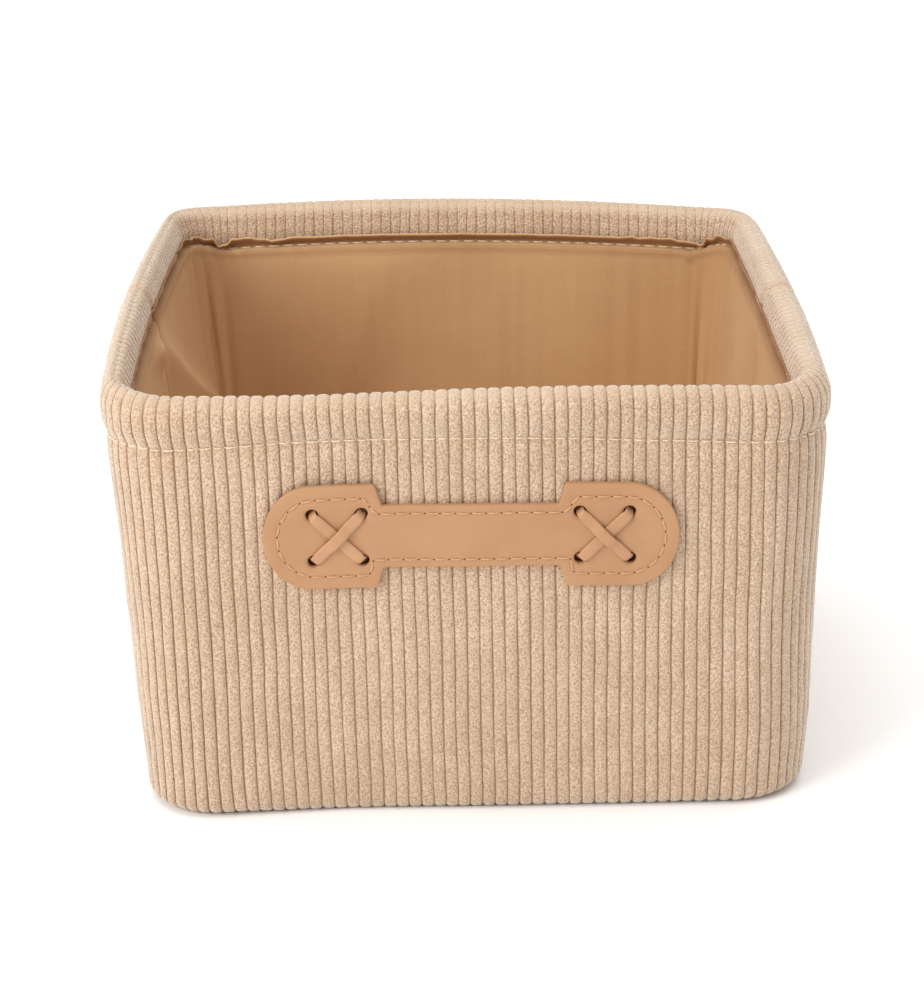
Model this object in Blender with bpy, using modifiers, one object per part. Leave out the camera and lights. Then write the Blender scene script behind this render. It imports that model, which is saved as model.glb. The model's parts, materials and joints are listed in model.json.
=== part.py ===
"""Square corduroy storage bin with laced leather handles and a lift-out base board.

Units are metres and +Z is up. The bin stands on Z = 0, centred on the origin, and its
front handle faces -Y. The walls lean outwards and bow a little, so every wall layer is
a sheet that follows the same outline at its own depth below the corduroy's outer face.
"""

import math

import bmesh
import bpy
from mathutils import Matrix, Vector

# Outer shape of the bin
HEIGHT = 0.167
RIM_HALF_SIZE = 0.130
FOOT_HALF_WIDTH = 0.1224
FOOT_HALF_DEPTH = 0.1206
CORNER_RADIUS = 0.028
SIDE_BOW = 0.0015
FRONT_BOW = 0.0036
BACK_BOW = 0.0060
FOOT_BOW_SHARE = 0.5

# Layers of the wall, each depth measured inwards from the corduroy's outer face
GAP = 0.0003
COVER_THICK = 0.0016
ROLL_RADIUS = 0.0058
FACING_DROP = 0.020
FOOT_CURVE = 0.005
FOOT_HEM = 0.013
FOAM_DEPTH = COVER_THICK + GAP
FOAM_THICK = 0.0078
FOAM_TOP_DROP = 0.0124
LINING_DEPTH = 0.0103
LINING_THICK = 0.0008
LINING_TOP_DROP = 0.0125
LINING_STEP_HIGH = 0.0215
LINING_STEP_LOW = 0.0285
SEAM_GAP = 0.0004

# Rim wire and the tape folded over it
WIRE_RADIUS = 0.0015
CASING_RADIUS = 0.0026
CASING_THICK = 0.0007
CASING_TAIL = 0.006

# Fixed base, from the floor up
BASE_COVER_THICK = 0.0016
BASE_FOAM_Z = 0.0019
BASE_FOAM_THICK = 0.003
BASE_FOAM_DEPTH = 0.0052
BASE_LINING_Z = 0.0052
BASE_LINING_THICK = 0.0008
WALL_LAYERS_Z = 0.0052

# Lift-out base: a board wrapped in lining cloth
INSERT_Z = 0.0063
INSERT_DEPTH = 0.0127
INSERT_CLOTH = 0.0008
INSERT_BOARD = 0.0025
INSERT_HEM = 0.012

# Handles
HANDLE_Z = 0.1134
HANDLE_HALF_LENGTH = 0.0735
PATCH_INNER_X = 0.0335
SHOULDER_X = 0.0312
PATCH_HALF_HEIGHT = 0.0202
STRAP_HALF_HEIGHT = 0.0120
ROUND_END = 0.015
STRAP_LIFT = 0.0020
BACKING_THICK = 0.0010
FACE_THICK = 0.0016
FACE_BEVEL = 0.0004
PATCH_CENTRE_X = 0.0472
HOLE_HALF_X = 0.00875
HOLE_HALF_Z = 0.00915
HOLE_RADIUS = 0.0026
HOLE_PIN_LENGTH = 0.012
LACE_WIDTH = 0.0043
LACE_THICK = 0.0012
LACE_BEND = 0.001
LACE_TAIL = 0.008
LACE_CROSSING = 0.0032
TAPE_SIZE = 0.030
TAPE_THICK = 0.0006
POCKET_MARGIN = 0.001

# Facets
SIDE_STEPS = 3
CORNER_STEPS = 6
WALL_STEPS = 4
ROLL_STEPS = 6
FOOT_STEPS = 3
HOLE_SIDES = 16
ROUND_END_STEPS = 6
STRAP_STEPS = 10

# Each material: colour in sRGB, roughness, metallic
CORDUROY = ((0.82, 0.70, 0.59), 0.95, 0.0)
LINING = ((0.72, 0.56, 0.40), 0.85, 0.0)
FOAM = ((0.90, 0.88, 0.82), 0.95, 0.0)
STEEL = ((0.62, 0.62, 0.63), 0.35, 1.0)
TAPE = ((0.88, 0.84, 0.76), 0.90, 0.0)
BOARD = ((0.60, 0.53, 0.43), 0.90, 0.0)
LEATHER = ((0.82, 0.62, 0.47), 0.50, 0.0)
LEATHER_BACK = ((0.76, 0.57, 0.43), 0.70, 0.0)
LACE = ((0.84, 0.63, 0.48), 0.50, 0.0)


def clear_scene():
    for existing in list(bpy.data.objects):
        bpy.data.objects.remove(existing, do_unlink=True)


def new_collection(name):
    collection = bpy.data.collections.new(name)
    bpy.context.scene.collection.children.link(collection)
    return collection


def linear(channel):
    """Linear value of one sRGB channel."""
    if channel <= 0.04045:
        return channel / 12.92
    return ((channel + 0.055) / 1.055) ** 2.4


def make_material(name, look):
    colour, roughness, metallic = look
    material = bpy.data.materials.new(name)
    material.use_nodes = True
    shader = material.node_tree.nodes["Principled BSDF"]
    shader.inputs["Base Color"].default_value = (*map(linear, colour), 1.0)
    shader.inputs["Roughness"].default_value = roughness
    shader.inputs["Metallic"].default_value = metallic
    material.diffuse_color = (*map(linear, colour), 1.0)
    return material


def object_from(mesh, name, collection, look):
    obj = bpy.data.objects.new(name, mesh)
    obj.data.materials.append(make_material(name, look))
    collection.objects.link(obj)
    return obj


def mesh_from(shape, name):
    mesh = bpy.data.meshes.new(name)
    shape.to_mesh(mesh)
    shape.free()
    return mesh


def mix(low, high, share):
    return low + (high - low) * share


def arc_points(centre, radius, start, end, steps):
    """Points along an arc, both ends included."""
    points = []
    for step in range(steps + 1):
        angle = mix(start, end, step / steps)
        points.append(centre + radius * Vector((math.cos(angle), math.sin(angle))))
    return points


# ---------------------------------------------------------------- plan of the walls


def wall_radius(half_size, radius, bow):
    """Radius of a wall that bows out by bow between its two corners."""
    chord = half_size - radius
    return (chord * chord + bow * bow) / (2 * bow)


def plan_at(z, back):
    """Half width, half depth and the two wall radii of the front or back half at height z."""
    share = z / HEIGHT
    width = mix(FOOT_HALF_WIDTH, RIM_HALF_SIZE, share)
    depth = mix(FOOT_HALF_DEPTH, RIM_HALF_SIZE, share)
    bow_share = mix(FOOT_BOW_SHARE, 1.0, share)
    wall_bow = (BACK_BOW if back else FRONT_BOW) * bow_share
    side = wall_radius(depth, CORNER_RADIUS, SIDE_BOW * bow_share)
    wall = wall_radius(width, CORNER_RADIUS, wall_bow)
    return width, depth, side, wall


def corner_centre(side_centre, side_reach, wall_centre, wall_reach):
    """Centre of the corner arc that runs smoothly into the side wall and the end wall."""
    between = wall_centre - side_centre
    span = between.length
    along = (side_reach**2 - wall_reach**2 + span**2) / (2 * span)
    across = math.sqrt(side_reach**2 - along**2)
    unit = between / span
    left = Vector((-unit.y, unit.x))
    middle = side_centre + unit * along
    return max((middle + left * across, middle - left * across), key=lambda p: p.x + p.y)


def quarter_outline(z, inset, back, start_y=0.0):
    """Outline of the +X quarter at height z, from the side seam to the middle of the wall."""
    width, depth, side, wall = plan_at(z, back)
    side_centre = Vector((width - side, 0.0))
    wall_centre = Vector((0.0, depth - wall))
    corner = corner_centre(
        side_centre, side - CORNER_RADIUS, wall_centre, wall - CORNER_RADIUS
    )
    first = math.asin(start_y / (side - inset))
    side_end = math.atan2(corner.y - side_centre.y, corner.x - side_centre.x)
    wall_start = math.atan2(corner.y - wall_centre.y, corner.x - wall_centre.x)
    points = arc_points(side_centre, side - inset, first, side_end, SIDE_STEPS)
    points += arc_points(
        corner, CORNER_RADIUS - inset, side_end, wall_start, CORNER_STEPS
    )[1:]
    points += arc_points(
        wall_centre, wall - inset, wall_start, math.pi / 2, WALL_STEPS
    )[1:]
    points[-1].x = 0.0
    facing = 1 if back else -1
    return [Vector((point.x, facing * point.y)) for point in points]


def full_outline(z, inset):
    """The whole outline at height z, anticlockwise from the +X side."""
    back = quarter_outline(z, inset, True)
    front = quarter_outline(z, inset, False)
    right_to_left = back + [Vector((-p.x, p.y)) for p in reversed(back[:-1])]
    left_to_right = [Vector((-p.x, p.y)) for p in front[1:]]
    left_to_right += list(reversed(front[1:-1]))
    return right_to_left + left_to_right


# ---------------------------------------------------------------- sheets and plates


def sheet_faces(shape, columns, closed=False):
    """Skin a grid of vertices given column by column."""
    pairs = list(zip(columns, columns[1:]))
    if closed:
        pairs.append((columns[-1], columns[0]))
    for near, far in pairs:
        for row in range(len(near) - 1):
            shape.faces.new((near[row], far[row], far[row + 1], near[row + 1]))


def half_wall_sheet(profile, back):
    """The +X half of a front or back wall layer, swept along the quarter outline."""
    shape = bmesh.new()
    rows = [quarter_outline(z, inset, back, SEAM_GAP / 2) for inset, z in profile]
    columns = []
    for step in range(len(rows[0])):
        columns.append(
            [
                shape.verts.new((row[step].x, row[step].y, z))
                for row, (_, z) in zip(rows, profile)
            ]
        )
    sheet_faces(shape, columns if back else columns[::-1])
    return shape


def add_mirror(obj):
    mirror = obj.modifiers.new("Other half", "MIRROR")
    mirror.use_axis = (True, False, False)
    mirror.use_clip = True
    mirror.merge_threshold = 0.00005


def add_thickness(obj, thickness):
    """Thicken a sheet on the side away from its normals."""
    solidify = obj.modifiers.new("Thickness", "SOLIDIFY")
    solidify.thickness = thickness
    solidify.offset = -1
    solidify.use_even_offset = True


def wall_layer(name, profile, thickness, back, collection, look):
    mesh = mesh_from(half_wall_sheet(profile, back), name)
    obj = object_from(mesh, name, collection, look)
    add_mirror(obj)
    add_thickness(obj, thickness)
    obj.data.shade_smooth()
    return obj


def ring_layer(name, profile, thickness, collection, look):
    """A wall layer that runs all the way round."""
    shape = bmesh.new()
    rows = [full_outline(z, inset) for inset, z in profile]
    columns = []
    for step in range(len(rows[0])):
        columns.append(
            [
                shape.verts.new((row[step].x, row[step].y, z))
                for row, (_, z) in zip(rows, profile)
            ]
        )
    sheet_faces(shape, columns, closed=True)
    obj = object_from(mesh_from(shape, name), name, collection, look)
    add_thickness(obj, thickness)
    obj.data.shade_smooth()
    return obj


def plate(name, z, inset, thickness, collection, look):
    """A flat panel that follows the outline, standing on height z."""
    shape = bmesh.new()
    top = z + thickness
    shape.faces.new([shape.verts.new((p.x, p.y, top)) for p in full_outline(z, inset)])
    obj = object_from(mesh_from(shape, name), name, collection, look)
    add_thickness(obj, thickness)
    return obj


# ---------------------------------------------------------------- wall layers


def cover_profile():
    """Corduroy from the foot hem, up the wall, over the rim and down the inside."""
    profile = [(FOOT_HEM, 0.0)]
    for step in range(FOOT_STEPS + 1):
        angle = math.pi / 2 * step / FOOT_STEPS
        inset = FOOT_CURVE * (1 - math.sin(angle))
        profile.append((inset, FOOT_CURVE * (1 - math.cos(angle))))
    profile.append((0.0, HEIGHT / 3))
    profile.append((0.0, 2 * HEIGHT / 3))
    profile.append((0.0, HEIGHT - FACING_DROP))
    for step in range(ROLL_STEPS + 1):
        angle = math.pi * step / ROLL_STEPS
        inset = ROLL_RADIUS * (1 - math.cos(angle))
        profile.append((inset, HEIGHT - ROLL_RADIUS + ROLL_RADIUS * math.sin(angle)))
    profile.append((2 * ROLL_RADIUS, HEIGHT - FACING_DROP))
    return profile


def casing_profile():
    """Tape that goes over the rim wire, with a tail down each side of it."""
    wire_z = HEIGHT - ROLL_RADIUS
    profile = [(ROLL_RADIUS - CASING_RADIUS, wire_z - CASING_TAIL)]
    for step in range(FOOT_STEPS + 2):
        angle = math.pi * step / (FOOT_STEPS + 1)
        inset = ROLL_RADIUS - CASING_RADIUS * math.cos(angle)
        profile.append((inset, wire_z + CASING_RADIUS * math.sin(angle)))
    profile.append((ROLL_RADIUS + CASING_RADIUS, wire_z - CASING_TAIL))
    return profile


def straight_profile(inset, low, high):
    return [(inset, low), (inset, mix(low, high, 0.5)), (inset, high)]


def lining_profile():
    """Lining up the foam, stepping in over the turned-down edge of the corduroy."""
    step_low = HEIGHT - LINING_STEP_LOW
    over_facing = 2 * ROLL_RADIUS + GAP
    profile = straight_profile(LINING_DEPTH, WALL_LAYERS_Z, step_low)
    profile.append((over_facing, HEIGHT - LINING_STEP_HIGH))
    profile.append((over_facing, HEIGHT - LINING_TOP_DROP))
    return profile


def rim_wire(collection):
    curve = bpy.data.curves.new("rim_wire", "CURVE")
    curve.dimensions = "3D"
    curve.bevel_depth = WIRE_RADIUS
    curve.bevel_resolution = 1
    wire_z = HEIGHT - ROLL_RADIUS
    route = full_outline(wire_z, ROLL_RADIUS)
    spline = curve.splines.new("POLY")
    spline.points.add(len(route) - 1)
    for point, place in zip(spline.points, route):
        point.co = (place.x, place.y, wire_z, 1.0)
    spline.use_cyclic_u = True
    return object_from(curve, "rim_wire", collection, STEEL)


# ---------------------------------------------------------------- lift-out base


def insert_cover(collection):
    """Cloth over the board's top, down its edges and turned under it as a hem."""
    shape = bmesh.new()
    top = INSERT_Z + 2 * (INSERT_CLOTH + GAP) + INSERT_BOARD
    profile = [
        (INSERT_HEM + INSERT_DEPTH, INSERT_Z),
        (INSERT_DEPTH, INSERT_Z),
        (INSERT_DEPTH, top),
    ]
    rings = []
    for inset, z in profile:
        outline = full_outline(INSERT_Z, inset)
        rings.append([shape.verts.new((p.x, p.y, z)) for p in outline])
    sheet_faces(shape, list(zip(*rings)), closed=True)
    shape.faces.new(rings[-1])
    obj = object_from(mesh_from(shape, "insert_cover"), "insert_cover", collection, LINING)
    add_thickness(obj, INSERT_CLOTH)
    return obj


def lift_out_base(collection):
    """The board and its cloth, which lift out together along +Z."""
    axis = bpy.data.objects.new("base_insert", None)
    collection.objects.link(axis)
    cloth = insert_cover(collection)
    board = plate(
        "insert_board",
        INSERT_Z + INSERT_CLOTH + GAP,
        INSERT_DEPTH + INSERT_CLOTH + GAP,
        INSERT_BOARD,
        collection,
        BOARD,
    )
    for piece in (cloth, board):
        piece.parent = axis


# ---------------------------------------------------------------- handles


def wall_frame(x, z, back):
    """Matrix at a point of the front or back wall: X along it, Y up it, Z straight out."""
    facing = 1 if back else -1
    _, depth, _, radius = plan_at(z, back)
    slope_x = -x / radius
    slope_z = (RIM_HALF_SIZE - FOOT_HALF_DEPTH) / HEIGHT
    out = Vector((-slope_x, 1.0, -slope_z)).normalized()
    out.y *= facing
    up = Vector((0.0, facing * slope_z, 1.0))
    up = (up - out * up.dot(out)).normalized()
    along = up.cross(out)
    y = facing * (depth - radius + math.sqrt(radius**2 - x**2))
    frame = Matrix((along, up, out)).transposed().to_4x4()
    frame.translation = Vector((x, y, z))
    return frame


def strap_stations():
    """Half heights of the dog-bone outline at stations from its middle to one round end."""
    stations = []
    for step in range(STRAP_STEPS // 2 + 1):
        stations.append((SHOULDER_X * 2 * step / STRAP_STEPS, STRAP_HALF_HEIGHT))
    stations.append((PATCH_INNER_X, PATCH_HALF_HEIGHT))
    round_start = HANDLE_HALF_LENGTH - ROUND_END
    stations.append((mix(PATCH_INNER_X, round_start, 0.5), PATCH_HALF_HEIGHT))
    for step in range(ROUND_END_STEPS + 1):
        angle = math.radians(84) * step / ROUND_END_STEPS
        x = round_start + ROUND_END * math.sin(angle)
        stations.append((x, PATCH_HALF_HEIGHT * math.cos(angle)))
    return stations


def strap_lift(x):
    """How far the strap stands off the wall between its two end patches."""
    share = min(abs(x) / SHOULDER_X, 1.0)
    return STRAP_LIFT * 0.5 * (1 + math.cos(math.pi * share))


def strap_layer(name, outer, thickness, back, collection, look):
    """One leather layer, whose outer face stands outer away from the wall."""
    half = strap_stations()
    stations = [(-x, h) for x, h in reversed(half[1:])] + half
    shape = bmesh.new()
    columns = []
    for x, half_height in stations:
        frame = wall_frame(x, HANDLE_Z, back)
        reach = outer + strap_lift(x)
        ends = [Vector((0.0, side * half_height, reach)) for side in (-1, 0, 1)]
        columns.append([shape.verts.new(frame @ end) for end in ends])
    sheet_faces(shape, columns[::-1] if back else columns)
    obj = object_from(mesh_from(shape, name), name, collection, look)
    add_thickness(obj, thickness)
    return obj


def add_edge_bevel(obj, width):
    bevel = obj.modifiers.new("Edge", "BEVEL")
    bevel.width = width
    bevel.segments = 1
    bevel.limit_method = "ANGLE"
    bevel.angle_limit = math.radians(50)


def hole_cutter(name, back, collection):
    """Eight pins through the wall where the laces pass, four at each end patch."""
    shape = bmesh.new()
    for side in (-1, 1):
        frame = wall_frame(side * PATCH_CENTRE_X, HANDLE_Z, back)
        for x in (-HOLE_HALF_X, HOLE_HALF_X):
            for y in (-HOLE_HALF_Z, HOLE_HALF_Z):
                bmesh.ops.create_cone(
                    shape,
                    cap_ends=True,
                    segments=HOLE_SIDES,
                    radius1=HOLE_RADIUS,
                    radius2=HOLE_RADIUS,
                    depth=HOLE_PIN_LENGTH,
                    matrix=frame @ Matrix.Translation((x, y, 0.0)),
                )
    return add_cutter(shape, name, collection)


def add_cutter(shape, name, collection):
    cutter = bpy.data.objects.new(name, mesh_from(shape, name))
    collection.objects.link(cutter)
    cutter.hide_render = True
    cutter.display_type = "WIRE"
    return cutter


def box_shape(shape, size, low, high, frame):
    """A square block across the frame's X and Y, from height low to high along its Z."""
    block = frame @ Matrix.Translation((0.0, 0.0, (low + high) / 2))
    block = block @ Matrix.Diagonal((size, size, high - low, 1.0))
    bmesh.ops.create_cube(shape, size=1.0, matrix=block)


def pocket_cutter(name, back, collection):
    """Two shallow pockets in the foam for the lace tails and the tape over them."""
    shape = bmesh.new()
    for side in (-1, 1):
        frame = wall_frame(side * PATCH_CENTRE_X, HANDLE_Z, back)
        floor = -tape_floor() - POCKET_MARGIN / 2
        box_shape(shape, TAPE_SIZE + 2 * POCKET_MARGIN, floor, 0.0, frame)
    return add_cutter(shape, name, collection)


def tape_floor():
    """Depth of the lace tape's inner face below the corduroy's outer face."""
    return COVER_THICK + GAP + LACE_THICK + GAP + TAPE_THICK


def cut(obj, cutter):
    boolean = obj.modifiers.new("Cut", "BOOLEAN")
    boolean.operation = "DIFFERENCE"
    boolean.solver = "EXACT"
    boolean.object = cutter


def lace_route(outer, crossing_rise):
    """Centre line of one lace leg: a staple through two opposite holes, tails turned in."""
    reach = math.hypot(HOLE_HALF_X, HOLE_HALF_Z)
    front = outer + GAP + LACE_THICK / 2
    rear = -(COVER_THICK + GAP + LACE_THICK / 2)
    half = [
        (LACE_CROSSING, front + crossing_rise),
        (reach - LACE_BEND, front),
        (reach, front - LACE_BEND),
        (reach, rear + LACE_BEND),
        (reach - LACE_BEND, rear),
        (reach - LACE_TAIL, rear),
    ]
    return [(-s, n) for s, n in reversed(half)] + half


def lace(name, side, lean, outer, rise, back, collection):
    """One flat lace leg across an end patch, leaning one way or the other."""
    frame = wall_frame(side * PATCH_CENTRE_X, HANDLE_Z, back)
    diagonal = Vector((HOLE_HALF_X, lean * HOLE_HALF_Z, 0.0)).normalized()
    across = Vector((0.0, 0.0, 1.0)).cross(diagonal) * LACE_WIDTH / 2
    shape = bmesh.new()
    columns = []
    for s, n in lace_route(outer, rise):
        middle = diagonal * s + Vector((0.0, 0.0, n))
        columns.append([shape.verts.new(frame @ (middle + across * k)) for k in (-1, 1)])
    sheet_faces(shape, columns)
    obj = object_from(mesh_from(shape, name), name, collection, LACE)
    add_thickness(obj, LACE_THICK)
    obj.modifiers["Thickness"].offset = 0
    return obj


def lace_tape(name, side, back, collection):
    """Tape that holds the lace tails flat behind the corduroy."""
    frame = wall_frame(side * PATCH_CENTRE_X, HANDLE_Z, back)
    shape = bmesh.new()
    box_shape(shape, TAPE_SIZE, -tape_floor(), TAPE_THICK - tape_floor(), frame)
    return object_from(mesh_from(shape, name), name, collection, TAPE)


def handle(prefix, back, collection, cutters):
    """A two-layer strap laced to the wall at both ends. Returns its hole cutter."""
    holes = hole_cutter(prefix + "_lace_holes", back, cutters)
    backing_outer = GAP + BACKING_THICK
    face_outer = backing_outer + GAP + FACE_THICK
    backing = strap_layer(
        prefix + "_strap_backing", backing_outer, BACKING_THICK, back, collection, LEATHER_BACK
    )
    face = strap_layer(
        prefix + "_strap_face", face_outer, FACE_THICK, back, collection, LEATHER
    )
    add_edge_bevel(face, FACE_BEVEL)
    for layer in (backing, face):
        cut(layer, holes)
    rise = LACE_THICK + GAP
    for side, label in ((-1, "left"), (1, "right")):
        name = f"{prefix}_{label}_lace"
        lace(name + "_under", side, side, face_outer, 0.0, back, collection)
        lace(name + "_over", side, -side, face_outer, rise, back, collection)
        lace_tape(name + "_tape", side, back, collection)
    return holes


# ---------------------------------------------------------------- the whole bin


def half_bin(prefix, back, collection, cutters):
    """Corduroy, foam, lining and handle of the front or back half."""
    cover = wall_layer(
        prefix + "_cover", cover_profile(), COVER_THICK, back, collection, CORDUROY
    )
    foam = wall_layer(
        prefix + "_foam",
        straight_profile(FOAM_DEPTH, WALL_LAYERS_Z, HEIGHT - FOAM_TOP_DROP),
        FOAM_THICK,
        back,
        collection,
        FOAM,
    )
    wall_layer(
        prefix + "_lining",
        lining_profile(),
        LINING_THICK,
        back,
        collection,
        LINING,
    )
    cut(cover, handle(prefix, back, collection, cutters))
    cut(foam, pocket_cutter(prefix + "_foam_pockets", back, cutters))


def fixed_base(collection):
    plate("base_cover", 0.0, FOOT_HEM + GAP, BASE_COVER_THICK, collection, CORDUROY)
    plate("base_foam", BASE_FOAM_Z, BASE_FOAM_DEPTH, BASE_FOAM_THICK, collection, FOAM)
    depth = LINING_DEPTH + LINING_THICK + GAP
    plate("base_lining", BASE_LINING_Z, depth, BASE_LINING_THICK, collection, LINING)


def build():
    clear_scene()
    collection = new_collection("corduroy_storage_bin")
    cutters = new_collection("cutters")
    half_bin("front", False, collection, cutters)
    half_bin("rear", True, collection, cutters)
    fixed_base(collection)
    rim_wire(collection)
    ring_layer("wire_casing", casing_profile(), CASING_THICK, collection, TAPE)
    lift_out_base(collection)


build()
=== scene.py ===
"""Looks of the corduroy storage bin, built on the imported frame. Metres, +Z up, front handle on -Y."""

import json
import math

import bmesh
import bpy
import numpy as np
from mathutils import Matrix, Vector
from mathutils.geometry import delaunay_2d_cdt


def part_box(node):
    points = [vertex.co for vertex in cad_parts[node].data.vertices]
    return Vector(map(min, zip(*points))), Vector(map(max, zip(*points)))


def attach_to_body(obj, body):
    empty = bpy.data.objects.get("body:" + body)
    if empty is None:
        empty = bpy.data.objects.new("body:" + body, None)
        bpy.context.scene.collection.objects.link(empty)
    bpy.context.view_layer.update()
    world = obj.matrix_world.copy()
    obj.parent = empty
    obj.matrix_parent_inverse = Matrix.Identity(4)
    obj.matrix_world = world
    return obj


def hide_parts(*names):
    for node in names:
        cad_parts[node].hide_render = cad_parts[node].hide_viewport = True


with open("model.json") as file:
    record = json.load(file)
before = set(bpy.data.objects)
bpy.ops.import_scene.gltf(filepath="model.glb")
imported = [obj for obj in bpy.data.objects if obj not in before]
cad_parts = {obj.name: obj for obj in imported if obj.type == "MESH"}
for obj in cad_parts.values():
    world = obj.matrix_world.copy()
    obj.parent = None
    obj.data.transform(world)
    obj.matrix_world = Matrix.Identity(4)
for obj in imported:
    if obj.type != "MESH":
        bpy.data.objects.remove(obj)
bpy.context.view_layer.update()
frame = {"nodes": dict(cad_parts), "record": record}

MM = 0.001

# ---------------------------------------------------------------- the bin's own sizes

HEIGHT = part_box("front_cover")[1][2]
RIM_HALF = 0.130
FOOT_HALF_WIDTH = 0.1224
FOOT_HALF_DEPTH = 0.1206
CORNER = 0.028
SIDE_BOW = 0.0015
FRONT_BOW = 0.0036
BACK_BOW = 0.0060
FOOT_BOW_SHARE = 0.5
LEAN_SLOPE = (RIM_HALF - FOOT_HALF_DEPTH) / HEIGHT
LEAN = math.atan(LEAN_SLOPE)

# The corduroy's profile
ROLL = 0.0058
FOOT_CURVE = 0.005
FOOT_HEM = 0.013
FACING_DROP = 0.020
HEM_Z = HEIGHT - 0.0175

# The lining, by its depth below the wall's face
STITCH_Z = HEIGHT - 0.0154
LINING_LOW = 0.0056
LINING_DEEP = 0.0112
LINING_START = 0.0117
LINING_BACKING = 0.0111
LINING_STEP = 0.0010
LINING_STEP_HIGH = HEIGHT - 0.021
LINING_STEP_LOW = HEIGHT - 0.034
LINING_REACH = 0.0105
CLOTH = 0.0005
WALL = 0.0127

# Each panel wraps round two corners. From its ends, SIDE_REACH of it lies on a side wall
# and SIDE_FLAT of it lies clear of the corner.
SIDE_REACH = 0.118
SIDE_FLAT = 0.088

# Ribs
WALE_FRONT = 0.00460
WALE_REAR = 0.00425
WALE_DEPTH = 0.00095
RIB_STEPS = np.array([-0.5, -0.465, -0.40, -0.25, 0.0, 0.25, 0.40, 0.465])

# Base and lift-out board
BASE_Z = 0.0052
BASE_RAISE = 0.00045
UNDERSIDE_INSET = 0.0112
INSERT_Z = 0.0063
INSERT_INSET = 0.0127
INSERT_STITCH = 0.0023

# Handles
HANDLE_Z = 0.1134
STRAP_HALF = 0.0735
PATCH_X = 0.0335
SHOULDER_X = 0.0312
PATCH_H = 0.0202
STRAP_H = 0.0120
ROUND_END = 0.017
STRAP_LIFT = 0.0003
HOLE_X0 = 0.0472
HOLE_DX = 0.00875
HOLE_DZ = 0.00915
HOLE_R = 0.0022
HOLES = np.array([(side * HOLE_X0 + dx * HOLE_DX, dz * HOLE_DZ)
                  for side in (-1, 1) for dx in (-1, 1) for dz in (-1, 1)])
BACKING_LOW = 0.0003
BACKING_OUT = 0.0013
FACE_LOW = 0.0014
FACE_OUT = 0.0032
LACE_WIDTH = 0.0043
LACE_THICK = 0.0012
STITCH_MARGIN = 0.0050
STRAP_PITCH = 0.0054
LINING_PITCH = 0.0062
INSERT_PITCH = 0.0058


# ---------------------------------------------------------------- small tools


def smooth(a, b, x):
    """0 below a, 1 above b, with a smooth ramp between."""
    t = np.clip((np.asarray(x, float) - a) / (b - a), 0.0, 1.0)
    return t * t * (3 - 2 * t)


def lattice(ix, iy, iz, seed):
    """A repeatable value from -1 to 1 for each whole-numbered point."""
    h = (ix * 374761393 + iy * 668265263 + iz * 2147483647 + seed * 1274126177) & 0xFFFFFFFF
    h = ((h ^ (h >> 13)) * 1274126177) & 0xFFFFFFFF
    h = (h ^ (h >> 16)) & 0xFFFFFFFF
    return h / 2147483647.5 - 1.0


def value_noise(x, y, z=0.0, seed=0):
    """Smooth noise from about -1 to 1, one bump per unit."""
    x, y, z = np.broadcast_arrays(*(np.asarray(a, float) for a in (x, y, z)))
    base = [np.floor(a).astype(np.int64) for a in (x, y, z)]
    part = [a - b for a, b in zip((x, y, z), base)]
    part = [t * t * t * (t * (6 * t - 15) + 10) for t in part]
    total = 0.0
    for dx in (0, 1):
        for dy in (0, 1):
            for dz in (0, 1):
                weight = 1.0
                for step, t in zip((dx, dy, dz), part):
                    weight = weight * (t if step else 1 - t)
                total = total + weight * lattice(base[0] + dx, base[1] + dy, base[2] + dz, seed)
    return total


def layered_noise(x, y, z=0.0, seed=0):
    """Two octaves of value_noise."""
    finer = [2.1 * np.asarray(a) for a in (x, y, z)]
    return 0.65 * value_noise(x, y, z, seed) + 0.35 * value_noise(*finer, seed + 7)


def bell(x, middle, width):
    """1 at the middle, falling to 0 on both sides over about twice the width."""
    return np.exp(-(((x - middle) / width) ** 2))


def wall_share(points):
    """How deep each point lies in the wall, from 0 on its outside to 1 on the lining,
    and how squarely it faces sideways."""
    low = 1 - np.clip(points[..., 2] / HEIGHT, 0, 1)
    half = RIM_HALF - low * (RIM_HALF - FOOT_HALF_WIDTH)
    across = np.clip(np.abs(points[..., 0]) - (half - CORNER), 0, None)
    along = np.clip(np.abs(points[..., 1]) - (half - CORNER), 0, None)
    reach = np.hypot(across, along)
    depth = np.clip((CORNER - reach) / WALL, 0, 1)
    return depth, (across / np.maximum(reach, 1e-6)) ** 2


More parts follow.
